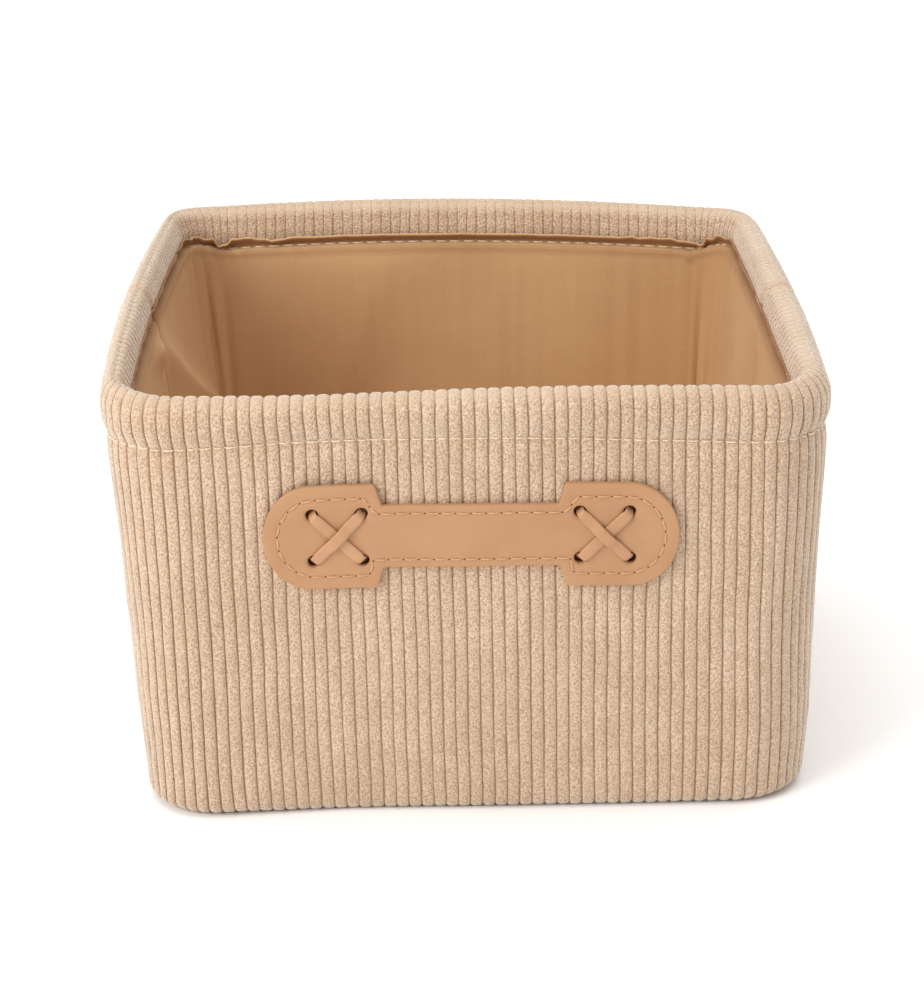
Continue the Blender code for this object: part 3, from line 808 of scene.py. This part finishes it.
def lining_half(name, back, node):
    """One lining panel with its pressed folds and its folded top edge."""
    points, s, z = lining_cloth(name, back)
    _, _, nx, ny = outline(s, z, back)
    lifted = creases(s, z, plan(z, back)["half"], back)
    points = points - np.stack([nx * lifted, ny * lifted, 0 * lifted], axis=-1)
    points = keep_inside(points, back)
    top, half = s[-1][None, :], plan(STITCH_Z, back)["half"]
    grid = np.concatenate([points, lip_points(top, half, back)], axis=0)
    faces = grid_faces(*grid.shape[:2])
    if back:
        faces = faces[:, ::-1]
    obj = mesh_object(name, grid.reshape(-1, 3), faces)
    # painted shade: the crease between the stitches and the folded edge, and on the side walls the strip
    # under the roll, are darkened through the seam attribute
    beside = beside_share(top, half)
    shade = np.concatenate([0.6 * smooth(STITCH_Z - 0.0012, STITCH_Z, z), LIP[:, 2:]])
    crevice = np.concatenate([smooth(STITCH_Z - 0.0058, STITCH_Z, z), np.ones((len(LIP), 1))])
    shade = shade * (1 - beside) + 1.2 * crevice * beside
    seam = obj.data.attributes.new("seam", "FLOAT", "POINT")
    seam.data.foreach_set("value", shade.ravel().astype(np.float32))
    thicken(obj, 1)
    attach(obj, "lining", "bin", node)


def thicken(obj, side):
    """Gives a cloth its thickness, in front of it (1) or behind it (-1)."""
    skin = obj.modifiers.new("thickness", "SOLIDIFY")
    skin.thickness = CLOTH
    skin.offset = side


lining_half("front_lining_cloth", False, "front_lining")
lining_half("rear_lining_cloth", True, "rear_lining")


# ---------------------------------------------------------------- base and lift-out board


def foot_plan(x, inset):
    """Half depth of the foot's plan at x, inset from its outline with square-on sides, and its half width."""
    width, depth = FOOT_HALF_WIDTH - inset, FOOT_HALF_DEPTH - inset
    radius = CORNER - inset
    into = np.clip(np.abs(x) - (width - radius), 0.0, radius)
    return depth - radius + np.sqrt(radius**2 - into**2), width


def underside():
    """Ribbed corduroy panel of the base, its edge tucked above the turned-in walls."""
    pitch = WALE_FRONT
    width = foot_plan(0.0, UNDERSIDE_INSET)[1]
    wales = int(width / pitch) + 1
    phase = (np.arange(-wales, wales + 1)[:, None] + RIB_STEPS).ravel()
    phase = np.clip(phase, -width / pitch, width / pitch)
    phase = np.unique(np.round(phase, 6))[None, :]
    x = phase * pitch
    depth = foot_plan(x, UNDERSIDE_INSET)[0]
    y = np.linspace(-1, 1, 61)[:, None] * depth
    edge = np.minimum(width - np.abs(x), depth - np.abs(y))
    tuck = 1.7 * MM * smooth(0.0032, 0.0014, edge)
    wave = layered_noise(x / 0.03, y / 0.03, 0.0, 5) * 0.12 * MM
    z = 0.75 * MM * (1 - wale_height(phase)) + wave + tuck + 0.15 * MM
    x = x + layered_noise(x / 0.03, y / 0.03, 4.0, 5) * 0.3 * MM * smooth(0.0, 0.01, edge)
    points = np.stack(np.broadcast_arrays(x, y, z), axis=-1)
    uv = np.stack(np.broadcast_arrays(phase, y / pitch), axis=-1)
    faces = grid_faces(*points.shape[:2])[:, ::-1]
    obj = mesh_object("base_corduroy", points.reshape(-1, 3), faces, uv.reshape(-1, 2))
    attach(obj, "corduroy", "bin", "base_cover")


def ring_at(z, inset, samples=60):
    """Closed outline at one height, going round anticlockwise from the right."""
    share = np.linspace(-1, 1, samples, endpoint=False)
    front = place(share * plan(z, False)["half"], z, False, inset)
    rear = place(-share * plan(z, True)["half"], z, True, inset)
    return np.concatenate([front, rear], axis=0)


def disc(name, rings, shift):
    """Concentric rings closed by a middle point. shift (x, y) is added to each height, fading to
    nothing over the four outer rings, so an edge stays where it is sewn."""
    grid = np.array(rings)
    rows, columns = grid.shape[:2]
    grid[..., 2] += shift(grid[..., 0], grid[..., 1]) * smooth(0.0, 4.0, np.arange(rows))[:, None]
    points = np.concatenate([grid.reshape(-1, 3), grid[-1].mean(axis=0)[None]], axis=0)
    last = (rows - 1) * columns + np.arange(columns)
    fan = np.stack([last, np.roll(last, -1), np.full(columns, len(points) - 1)], axis=1)
    faces = np.concatenate([halved(grid_faces(rows, columns, wrap=True)), fan])
    return mesh_object(name, points, faces, stand=None)


def base_lining():
    """The lining of the base, flat under the lift-out board."""
    rings = [ring_at(BASE_Z, inset) for inset in (0.0109, 0.0114, 0.0125)]
    outer = ring_at(BASE_Z, 0.0140)
    rings += [outer * [size, size, 1.0] for size in np.linspace(1.0, 0.03, 46)]
    rings = [ring + [0.0, 0.0, BASE_RAISE] for ring in rings]

    def shift(x, y):
        return (layered_noise(x / 0.035, y / 0.06, 0.0, 61) + 0.4) * 0.22 * MM

    obj = disc("base_lining_cloth", rings, shift)
    attach(obj, "lining", "bin", "base_lining")


def insert_wrap():
    """Lining cloth wrapped over the lift-out board and hemmed underneath. Returns its topstitch's
    inset and height."""
    low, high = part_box("insert_cover")[0][2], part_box("insert_cover")[1][2]
    middle, radius, gap = (low + high) / 2, (high - low) / 2, 0.1 * MM
    edge = INSERT_INSET + radius
    rings = [(inset, low + gap) for inset in np.linspace(INSERT_INSET + 0.0118, edge, 6)[:-1]]
    for angle in np.linspace(-math.pi / 2, math.pi / 2, 11):
        rings.append((edge - radius * math.cos(angle), middle + (radius - gap) * math.sin(angle)))
    for inset in (0.0005, 0.0012, 0.0019, INSERT_STITCH, 0.0027, 0.0034, 0.0045, 0.006):
        rings.append((edge + inset, high - gap - 0.22 * MM * bell(inset, INSERT_STITCH, 0.0007)))
    flat_from = len(rings) - 3
    rings = [ring_at(INSERT_Z, inset, 90) * [1, 1, 0] + [0, 0, z] for inset, z in rings]
    last = rings[-1]
    rings += [last * [size, size, 1.0] for size in np.linspace(0.985, 0.02, 44)]

    def shift(x, y):
        soft = layered_noise(x / 0.05, y / 0.09, 0.0, 41) * 0.30 * MM
        fine = np.abs(layered_noise(x / 0.014, y / 0.05, 2.0, 43)) * 0.16 * MM
        return (soft - fine) * (np.arange(len(rings)) >= flat_from)[:, None]

    obj = disc("insert_cloth", rings, shift)
    thicken(obj, -1)
    attach(obj, "lining", "base_insert", "insert_cover")
    return edge + INSERT_STITCH, high - 0.3 * MM


underside()
base_lining()
insert_stitch_inset, insert_stitch_z = insert_wrap()


# ---------------------------------------------------------------- stitches


def tubes(name, paths, ups, radii, sides=6, stand=slump):
    """Many thin closed tubes in one mesh. paths (n, k, 3), ups (n, k, 3), radii (k,)."""
    paths, ups = np.asarray(paths, float), np.asarray(ups, float)
    count, steps = paths.shape[:2]
    along = unit(np.gradient(paths, axis=1))
    side = unit(np.cross(along, ups))
    lift = np.cross(side, along)
    angle = (np.arange(sides) * 2 * math.pi / sides)[:, None]
    ring = side[:, :, None] * np.cos(angle) + lift[:, :, None] * np.sin(angle)
    points = paths[:, :, None] + ring * radii[None, :, None, None]
    tips = np.stack([paths[:, 0] - along[:, 0] * radii[0], paths[:, -1] + along[:, -1] * radii[-1]], axis=1)
    points = np.concatenate([points.reshape(count, steps * sides, 3), tips], axis=1)
    offsets = (np.arange(count) * points.shape[1])[:, None, None]
    faces = (tube_faces(steps, sides)[None] + offsets).reshape(-1, 3)
    return mesh_object(name, points.reshape(-1, 3), faces, stand=stand)


# A stitch by steps along it, and how full the thread is at each
STITCH_T = np.array([0.0, 0.08, 0.25, 0.5, 0.75, 0.92, 1.0])
STITCH_FULL = np.array([0.55, 0.8, 0.95, 1.0, 0.95, 0.8, 0.55])


def thread_row(name, stitches, radius, lift, sink, material, body, stand=slump):
    """Stitches that dive into the cloth at both tips. Each is its start, its end and the cloth's normal."""
    starts, ends, normals = (np.array(column, float)[:, None] for column in zip(*stitches))
    t = STITCH_T[None, :, None]
    height = -sink + (sink + lift) * np.sin(np.pi * STITCH_T) ** 0.6
    paths = starts * (1 - t) + ends * t + normals * height[None, :, None]
    obj = tubes(name, paths, np.broadcast_to(normals, paths.shape), radius * STITCH_FULL, stand=stand)
    attach(obj, material, body)


def hem_stitches(name, back):
    """The stitch line below the rolled rim, half sunk between the ribs."""
    pitch = WALE_REAR if back else WALE_FRONT
    count = int(2 * (half_length(HEIGHT, back) - 0.004) / pitch)
    seed = 17 if back else 13
    number = np.arange(count + 1)
    edges = (number - count / 2) * pitch + value_noise(number * 1.7, 0.5, 0.0, seed) * 0.25 * pitch
    stitches = []
    for a, b in zip(edges[:-1], edges[1:]):
        z = HEM_Z + 0.35 * MM * value_noise(a / 0.03, 0.0, 0.0, seed + 1)
        depth = 0.72 * MM + 0.24 * MM * value_noise(a / 0.011, 2.0, 0.0, seed + 2)
        tips = [place(s, z, back, depth - softness(s, z, back)) for s in (a + 0.12 * pitch, b - 0.12 * pitch)]
        nx, ny = outline((a + b) / 2, z, back)[2:]
        stitches.append((*tips, (float(nx), float(ny), 0.0)))
    thread_row(name, stitches, 0.00030, 0.00012, 0.00045, "thread_cream", "bin")


def lining_stitches(name, back):
    """Stitches that hold the lining's folded edge to the facing. On the side walls, where the roll hides
    them, none are drawn.
    """
    half, margin = half_length(STITCH_Z, back), 0.0009
    count = int(2 * (half - 0.004) / LINING_PITCH)
    stitches = []
    for a in (np.arange(count) - count / 2) * LINING_PITCH:
        if abs(a) > half - SIDE_REACH + 0.006:
            continue
        tips = [place(s, STITCH_Z + 0.00005, back, 0.0130) for s in (a + margin, a + LINING_PITCH - margin)]
        nx, ny = outline(a + LINING_PITCH / 2, STITCH_Z, back)[2:]
        stitches.append((*tips, (-float(nx), -float(ny), 0.0)))
    thread_row(name, stitches, 0.00036, 0.00024, 0.00030, "thread_cream", "bin")


def insert_stitches():
    """Topstitch round the lift-out board."""
    ring = ring_at(INSERT_Z, insert_stitch_inset, 400)
    closed = np.vstack([ring, ring[:1]])
    far = along_line(closed)
    count, margin = round(far[-1] / INSERT_PITCH), 0.0007
    pitch = far[-1] / count

    def at(distance):
        x, y = (np.interp(distance % far[-1], far, closed[:, k]) for k in (0, 1))
        return x, y, insert_stitch_z

    stitches = [(at(k * pitch + margin), at((k + 1) * pitch - margin), (0.0, 0.0, 1.0)) for k in range(count)]
    thread_row("insert_topstitch", stitches, 0.00030, 0.00018, 0.00025, "thread_tan", "base_insert",
               stand=None)


hem_stitches("front_hem_stitches", False)
hem_stitches("rear_hem_stitches", True)
lining_stitches("front_lining_stitches", False)
lining_stitches("rear_lining_stitches", True)
insert_stitches()


# ---------------------------------------------------------------- handles


def on_wall(x, h, n, back):
    """Point x along a handle, h up it and n out from the corduroy, with the frame's three axes."""
    x, h, n = np.broadcast_arrays(*(np.asarray(a, float) for a in (x, h, n)))
    facing = 1.0 if back else -1.0
    p = plan(HANDLE_Z, back)
    radius, one = float(p["wall"]), np.ones_like(x)
    # the rear handle is the front one turned round
    real_x = -x if back else x
    out = unit(np.stack([real_x / radius, one, -LEAN_SLOPE * one], axis=-1)) * [1.0, facing, 1.0]
    up = np.stack([0 * one, facing * LEAN_SLOPE * one, one], axis=-1)
    up = unit(up - out * (up * out).sum(axis=-1, keepdims=True))
    y = facing * (float(p["by"]) + np.sqrt(radius**2 - real_x**2))
    start = np.stack([real_x, y, HANDLE_Z * one], axis=-1)
    return start + up * h[..., None] + out * n[..., None], np.cross(up, out), up, out


def lift_at(x):
    """How far the strap bows off the wall at x."""
    share = np.minimum(np.abs(x) / SHOULDER_X, 1.0)
    return STRAP_LIFT * 0.5 * (1 + np.cos(math.pi * share))


def round_corner(before, corner, after, radius, steps=5):
    """Points of an arc that replaces a corner of a line."""
    a, c, b = (np.array(p, float) for p in (before, corner, after))
    u, v = (a - c) / np.linalg.norm(a - c), (b - c) / np.linalg.norm(b - c)
    half = math.acos(float(np.clip(u @ v, -1, 1))) / 2
    reach = radius / math.tan(half)
    middle = c + (u + v) / np.linalg.norm(u + v) * radius / math.sin(half)
    first, last = c + u * reach, c + v * reach
    angles = [math.atan2(*(p - middle)[::-1]) for p in (first, last)]
    turn = (angles[1] - angles[0] + math.pi) % (2 * math.pi) - math.pi
    sweep = angles[0] + turn * np.arange(steps + 1) / steps
    return [tuple(p) for p in middle + radius * np.stack([np.cos(sweep), np.sin(sweep)], axis=1)]


def round_tip(half, round_end, patch_h, steps):
    """Points of the handle's rounded end, from its top to its tip."""
    start = half - round_end
    turns = np.linspace(0, math.pi / 2, steps)
    return [(start + round_end * math.sin(a), patch_h * math.cos(a)) for a in turns]


def four_ways(quarter):
    """A closed outline from its upper right quarter."""
    quarter = np.array(quarter)
    right = np.concatenate([quarter, quarter[-2::-1] * [1, -1]])
    return np.concatenate([right, right[-2:0:-1] * [-1, 1]])


def dog_bone(inset=0.0, inner_radius=0.0007, outer_radius=0.0013):
    """Closed outline of the handle, its length along X."""
    strap_h, patch_h = STRAP_H - inset, PATCH_H - inset
    # the shoulder leans, so its inset moves both its ends along X by about the same amount
    shoulder, patch = SHOULDER_X + inset, PATCH_X + inset
    half, round_end = STRAP_HALF - inset, ROUND_END - inset * 0.6
    quarter = [(x, strap_h) for x in np.linspace(0.0, shoulder - inner_radius * 2, 34)[:-1]]
    quarter += round_corner((0.0, strap_h), (shoulder, strap_h), (patch, patch_h), inner_radius)
    quarter += [(shoulder + (patch - shoulder) * t, strap_h + (patch_h - strap_h) * t)
                for t in np.linspace(0.15, 0.80, 9)]
    quarter += round_corner((shoulder, strap_h), (patch, patch_h), (half, patch_h), outer_radius)
    quarter += [(x, patch_h) for x in np.linspace(patch + outer_radius * 2, half - round_end, 20)[:-1]]
    return four_ways(quarter + round_tip(half, round_end, patch_h, 30))


def resample(loop, step):
    """A closed loop's points at even steps along it."""
    closed = np.vstack([loop, loop[:1]])
    far = along_line(closed)
    count = int(round(far[-1] / step))
    at = np.arange(count) * far[-1] / count
    return np.stack([np.interp(at, far, closed[:, k]) for k in (0, 1)], axis=1)


def distance_to(points, loop):
    """Distance of each point from a closed loop, positive inside."""
    a, b = loop, np.roll(loop, -1, axis=0)
    d = b - a
    rel = points[:, None] - a[None]
    t = np.clip((rel * d).sum(-1) / np.maximum((d * d).sum(-1), 1e-18), 0, 1)
    gap = np.linalg.norm(rel - t[..., None] * d, axis=-1).min(axis=1)
    crosses = (a[None, :, 1] > points[:, None, 1]) != (b[None, :, 1] > points[:, None, 1])
    slope = (b[:, 0] - a[:, 0]) / np.where(np.abs(d[:, 1]) < 1e-15, 1e-15, d[:, 1])
    left = points[:, None, 0] < a[None, :, 0] + slope[None] * (points[:, None, 1] - a[None, :, 1])
    inside = (crosses & left).sum(axis=1) % 2 == 1
    return np.where(inside, gap, -gap)


def hole_distance(points, radius):
    """Distance of each point from the nearest hole's edge, positive outside."""
    return np.linalg.norm(points[:, None] - HOLES[None], axis=-1).min(axis=1) - radius


def strap_stitch_line():
    """Where the handle's stitches run: one closed loop, nearer the edge along the strap."""
    strap_h, patch_h, half = 0.0090, PATCH_H - STITCH_MARGIN, STRAP_HALF - STITCH_MARGIN
    shoulder, corner = (0.0348, strap_h), (0.0363, patch_h)
    quarter = [(x, strap_h) for x in np.linspace(0.0, shoulder[0] - 0.002, 20)]
    quarter += round_corner((0.0, strap_h), shoulder, corner, 0.0010, 4)
    quarter += round_corner(shoulder, corner, (half, patch_h), 0.0012, 4)
    return four_ways(quarter + round_tip(half, ROUND_END - 0.0035, patch_h, 26))


def normals_of(loop):
    """A direction across a closed loop at each of its points."""
    ahead = unit(np.roll(loop, -1, axis=0) - np.roll(loop, 1, axis=0))
    return np.stack([ahead[:, 1], -ahead[:, 0]], axis=1)


def leather_sheet(loop, line, hole_radius, soft, step):
    """Points and triangles of the flat leather: close together along its edges, its holes and its
    stitch line, even between them. line is None where the layer shows no stitches."""
    inward = normals_of(loop)
    if distance_to(loop[:1] + inward[:1] * 0.001, loop)[0] < 0:
        inward = -inward
    samples = [loop]
    for depth in (0.00012, 0.0003, soft, 0.0009, 0.0014):
        ring = loop + inward * depth
        samples.append(ring[distance_to(ring, loop) > depth * 0.93])
    angle = np.arange(28) * 2 * math.pi / 28
    circle = np.stack([np.cos(angle), np.sin(angle)], axis=1)
    for extra in (0.0, 0.00012, 0.0003, soft, 0.0009):
        samples += [hole + circle * (hole_radius + extra) for hole in HOLES]
    xs = np.arange(-STRAP_HALF, STRAP_HALF, step)
    ys = np.arange(-PATCH_H, PATCH_H, step * 0.866)
    grid = np.array([(x + (k % 2) * step / 2, y) for k, y in enumerate(ys) for x in xs])
    keep = (distance_to(grid, loop) > 0.0019) & (hole_distance(grid, hole_radius) > 0.0013)
    if line is not None:
        across = normals_of(line)
        samples += [line + across * off for off in (-0.0006, -0.0003, 0.0, 0.0003, 0.0006)]
        keep &= np.abs(distance_to(grid, line)) > 0.0010
    flat = np.concatenate([*samples, grid[keep]])
    edges = [(k, (k + 1) % len(loop)) for k in range(len(loop))]
    # in millimetres, so that the triangulation's tolerance suits the sizes
    verts, _, tris, _, _, _ = delaunay_2d_cdt([Vector(p / MM) for p in flat], edges, [], 0, 1e-4, False)
    flat = np.array([(v.x, v.y) for v in verts]) * MM
    tris = np.array([t for t in tris if len(t) == 3])
    centre = flat[tris].mean(axis=1)
    tris = tris[(distance_to(centre, loop) > 0) & (hole_distance(centre, hole_radius * 0.995) > 0)]
    used, tris = np.unique(tris, return_inverse=True)
    flat, tris = flat[used], tris.reshape(-1, 3)
    area = np.cross(flat[tris[:, 1]] - flat[tris[:, 0]], flat[tris[:, 2]] - flat[tris[:, 0]])
    tris[area < 0] = tris[area < 0][:, ::-1]
    return flat, tris


def leather_layer(name, back, low, high, inset, hole_radius, stitched, slot, node, step):
    """One leather layer cut to the dog-bone outline, with soft edges, lace holes and a stitch groove."""
    soft = 0.00055
    loop = resample(dog_bone(inset), 0.0008)
    line = resample(strap_stitch_line(), 0.0006) if stitched else None
    flat, tris = leather_sheet(loop, line, hole_radius, soft, step)
    from_hole = hole_distance(flat, hole_radius)
    edge = np.minimum(distance_to(flat, loop), from_hole)
    x, h = flat[:, 0], flat[:, 1]
    top = high - soft + np.sqrt(np.maximum(soft**2 - (soft - np.clip(edge, 0, soft)) ** 2, 0))
    if stitched:
        gap = np.abs(distance_to(flat, line))
        swell = smooth(0.0, 0.0012, edge) * np.clip(1 - np.abs(gap - 0.0024) / 0.0024, 0, 1)
        top = top - 0.16 * MM * bell(gap, 0.0, 0.0005) + 0.10 * MM * swell
        top = top - 0.30 * MM * bell(from_hole, 0.0, 0.0009)
    top = top + leather_grain(x, h, back)
    raised = strap_lift(x, h, back)
    upper = on_wall(x, h, top + raised, back)[0]
    under = on_wall(x, h, low + raised, back)[0]
    # the cut edges join the outline of one face to the other's
    n = len(flat)
    directed = np.concatenate([tris[:, [0, 1]], tris[:, [1, 2]], tris[:, [2, 0]]])
    _, index, counts = np.unique(np.sort(directed, axis=1), axis=0, return_index=True, return_counts=True)
    a, b = directed[index[counts == 1]].T
    walls = [np.stack([b, a, a + n], axis=1), np.stack([b, a + n, b + n], axis=1)]
    faces = np.concatenate([tris, tris[:, ::-1] + n, *walls])
    obj = mesh_object(name, np.concatenate([upper, under]), faces)
    obj.data.set_sharp_from_angle(angle=math.radians(48))
    attach(obj, slot, "bin", node)


def leather_grain(x, h, back):
    """The leather's slight unevenness."""
    return layered_noise(x / 0.016, h / 0.012, 0.0, 23 if back else 19) * 0.10 * MM


def strap_lift(x, h, back):
    """How far the handle's layers stand off the wall, over its soft padding."""
    return lift_at(x) + 0.35 * MM * layered_noise(x / 0.03, h / 0.03, 6.0, 23 if back else 19)


def strap_height(x, h, back):
    """How far the handle's top face stands off the wall."""
    return FACE_OUT + leather_grain(x, h, back) + strap_lift(x, h, back)


def strap_stitches(prefix, back):
    """Thread dashes, and dark dots between them that paint the shade in the needle holes."""
    line = resample(strap_stitch_line(), 0.0002)
    count = round(len(line) * np.linalg.norm(line[1] - line[0]) / STRAP_PITCH)
    pitch = len(line) / count

    def at(index, depth):
        """A point on the line, depth below the leather's face, and the way out."""
        x, h = line[int(round(index)) % len(line)]
        point, _, _, out = on_wall(x, h, strap_height(x, h, back) - depth, back)
        return point, out

    stitches, dots = [], []
    for k in range(count):
        start, out = at(k * pitch + 0.12 * pitch, 0.10 * MM)
        end, _ = at((k + 1) * pitch - 0.12 * pitch, 0.10 * MM)
        stitches.append((start, end, out))
        dots.append(at(k * pitch, 0.13 * MM))
    thread_row(prefix + "_strap_stitches", stitches, 0.00034, 0.00024, 0.00030, "thread_tan", "bin")
    # painted shade: small dark tubes stand for the shade down in the needle holes
    dots = np.array(dots)
    paths = dots[:, :1] + dots[:, 1:] * np.array([-0.0003, 0.0])[None, :, None]
    ups = np.broadcast_to([0.0, 0.0, 1.0], paths.shape)
    obj = tubes(prefix + "_needle_holes", paths, ups, np.array([0.00030, 0.00034]), 8)
    attach(obj, "needle", "bin")


def lace_leg(name, back, side, lean, over, node):
    """One flat lace leg that dives through two opposite holes."""
    reach = math.hypot(HOLE_DX, HOLE_DZ)
    dive, bend = reach - 0.0016, 0.0012
    # stations from the middle out: distance along, height, and how far the lace is tilted down
    level = [(t, 0.0, 0.0) for t in np.linspace(-dive, dive, 33)]
    tail = []
    for a in np.radians(np.linspace(0, 74, 8)[1:]):
        tail.append((dive + bend * math.sin(a), -bend * (1 - math.cos(a)), a))
    s, n, a = tail[-1]
    tail += [(s + far * math.cos(a), n - far * math.sin(a), a) for far in (0.0008, 0.0018, 0.0030)]
    s, n, _ = np.array([(-s, n, -a) for s, n, a in reversed(tail)] + level + tail).T
    if over:
        n = n + (LACE_THICK + 0.00022) * smooth(0.0062, 0.0022, np.abs(s))
    else:
        n = n - 0.00012 * np.cos(np.pi * np.clip(s / reach, -1, 1))
    width = LACE_WIDTH * (1.0 - 0.20 * smooth(dive - 0.0012, reach - 0.0004, np.abs(s)))
    thick = LACE_THICK * (1 - 0.10 * smooth(dive, reach, np.abs(s)))
    diagonal = np.array([HOLE_DX, lean * HOLE_DZ]) / reach
    x, h = side * HOLE_X0 + diagonal[0] * s, diagonal[1] * s
    height = strap_height(x, h, back) + LACE_THICK / 2 - 0.00005 + n
    centre, along, up, out = on_wall(x, h, height, back)
    side_way = up * diagonal[0] - along * diagonal[1]
    lift = np.cross(unit(np.gradient(centre, axis=0)), side_way)
    lift = unit(lift * np.sign((lift * out).sum(axis=1))[:, None])
    corner = np.linspace(0, 2 * math.pi, 18, endpoint=False)
    wide = np.sign(np.cos(corner)) * np.abs(np.cos(corner)) ** 0.55
    tall = np.sign(np.sin(corner)) * np.abs(np.sin(corner)) ** 0.62
    points = (centre[:, None]
              + side_way[:, None] * (wide[None, :, None] * width[:, None, None] / 2)
              + lift[:, None] * (tall[None, :, None] * thick[:, None, None] / 2))
    tips = np.stack([centre[0], centre[-1]])
    obj = mesh_object(name, np.concatenate([points.reshape(-1, 3), tips]), tube_faces(*points.shape[:2]))
    shape = bmesh.new()
    shape.from_mesh(obj.data)
    bmesh.ops.recalc_face_normals(shape, faces=shape.faces)
    shape.to_mesh(obj.data)
    shape.free()
    obj.data.shade_smooth()
    attach(obj, "lace", "bin", node)


def hole_shades(prefix, back):
    """Painted shade: dark discs at the bottoms of the lace holes, down in the corduroy."""
    centre, _, up, out = on_wall(HOLES[:, 0], HOLES[:, 1], -0.0004, back)
    paths = centre[:, None] + out[:, None] * np.array([-0.0009, -0.0003, 0.0])[None, :, None]
    ups = np.broadcast_to(up[:, None], paths.shape)
    obj = tubes(prefix + "_hole_shades", paths, ups, np.array([0.0024, 0.0026, 0.0027]), 20)
    attach(obj, "needle", "bin")


for prefix, back in (("front", False), ("rear", True)):
    leather_layer(prefix + "_backing_leather", back, BACKING_LOW, BACKING_OUT, 0.0003, HOLE_R + 0.0001,
                  False, "leather_back", prefix + "_strap_backing", 0.0030)
    leather_layer(prefix + "_face_leather", back, FACE_LOW, FACE_OUT, 0.0, HOLE_R,
                  True, "leather", prefix + "_strap_face", 0.0011)
    strap_stitches(prefix, back)
    hole_shades(prefix, back)
    for side, label in ((-1, "left"), (1, "right")):
        for kind, lean in (("under", side), ("over", -side)):
            lace_leg(f"{prefix}_{label}_{kind}_leg", back, side, lean, kind == "over",
                     f"{prefix}_{label}_lace_{kind}")


# ---------------------------------------------------------------- camera, light and floor


def area_light(name, place_at, aim, size, power, colour=(1.0, 1.0, 1.0)):
    """A square soft light of this power in watts, turned to its aim."""
    data = bpy.data.lights.new(name, "AREA")
    data.shape = "SQUARE"
    data.size = size
    data.energy = power
    data.color = colour
    lamp = bpy.data.objects.new(name, data)
    lamp.location = place_at
    lamp.rotation_euler = (Vector(aim) - Vector(place_at)).to_track_quat("-Z", "Y").to_euler()
    bpy.context.scene.collection.objects.link(lamp)


def studio():
    """A wide pale floor under a white sky, a key light from the front left and a soft one above."""
    reach, drop = 6.0, -0.0006
    corners = [(x * reach, y * reach, drop) for x, y in ((-1, -1), (1, -1), (1, 1), (-1, 1))]
    floor_mesh = bpy.data.meshes.new("floor")
    floor_mesh.from_pydata(corners, [], [(0, 1, 2, 3)])
    floor = bpy.data.objects.new("floor", floor_mesh)
    bpy.context.scene.collection.objects.link(floor)
    m = Nodes("floor_white")
    m.shader.inputs["Base Color"].default_value = (0.97, 0.97, 0.97, 1.0)
    m.shader.inputs["Roughness"].default_value = 0.9
    m.shader.inputs["Specular IOR Level"].default_value = 0.1
    floor_mesh.materials.append(m.material)
    world = bpy.data.worlds.new("studio")
    world.use_nodes = True
    sky = world.node_tree.nodes["Background"]
    sky.inputs["Color"].default_value = (1.0, 1.0, 1.0, 1.0)
    sky.inputs["Strength"].default_value = 0.64
    bpy.context.scene.world = world
    area_light("key", (-1.30, -1.15, 1.10), (0, 0, 0.08), 1.0, 23.5, (1.0, 0.995, 0.985))
    area_light("top", (0.1, 0.3, 2.4), (0, 0, 0), 2.8, 47.0)
    bpy.context.scene.view_settings.view_transform = "Standard"
    bpy.context.scene.view_settings.look = "None"


def photo_camera():
    """A camera on the photo's viewpoint. Angles in radians, distances in metres."""
    pitch, yaw, roll = 0.3679, 0.0147, 0.0144
    distance, shift_right, shift_up = 1.086, 0.0022, 0.00545
    data = bpy.data.cameras.new("camera")
    data.sensor_width = 36.0
    data.lens = 97.2
    data.clip_start, data.clip_end = 0.05, 50.0
    camera = bpy.data.objects.new("camera", data)
    turn = Matrix.Rotation(-yaw, 3, "Z")
    look = turn @ Vector((0.0, math.cos(pitch), -math.sin(pitch)))
    lift = turn @ Vector((0.0, math.sin(pitch), math.cos(pitch)))
    right = turn @ Vector((1.0, 0.0, 0.0))
    middle = Vector((0, 0, HEIGHT / 2))
    camera.location = middle - look * distance - lift * shift_up - right * shift_right
    basis = Matrix((right, lift, -look)).transposed()
    basis = Matrix.Rotation(roll, 3, look) @ basis
    camera.matrix_world = Matrix.Translation(camera.location) @ basis.to_4x4()
    bpy.context.scene.collection.objects.link(camera)
    bpy.context.scene.camera = camera


def slot_of(node):
    """The record's material slot of a node."""
    return next(p["material_slot"] for p in frame["record"]["subparts"] if p["node"] == node)


def inner_solids():
    """The hidden solids, copied so that they stand as the cloth around them does."""
    tapes = [f"{end}_{side}_lace_tape" for end in ("front", "rear") for side in ("left", "right")]
    for node in ["front_foam", "rear_foam", "rim_wire", "wire_casing"] + tapes:
        mesh = frame["nodes"][node].data.copy()
        points = np.empty(len(mesh.vertices) * 3, np.float32)
        mesh.vertices.foreach_get("co", points)
        mesh.vertices.foreach_set("co", slump(points.reshape(-1, 3)).astype(np.float32).ravel())
        mesh.update()
        mesh.materials.clear()
        obj = bpy.data.objects.new(node + "_inside", mesh)
        bpy.context.scene.collection.objects.link(obj)
        attach(obj, slot_of(node), "bin", node)


studio()
photo_camera()
inner_solids()

for name, node in frame["nodes"].items():
    if slot_of(name) in MATERIALS:
        node.data.materials.clear()
        node.data.materials.append(MATERIALS[slot_of(name)])
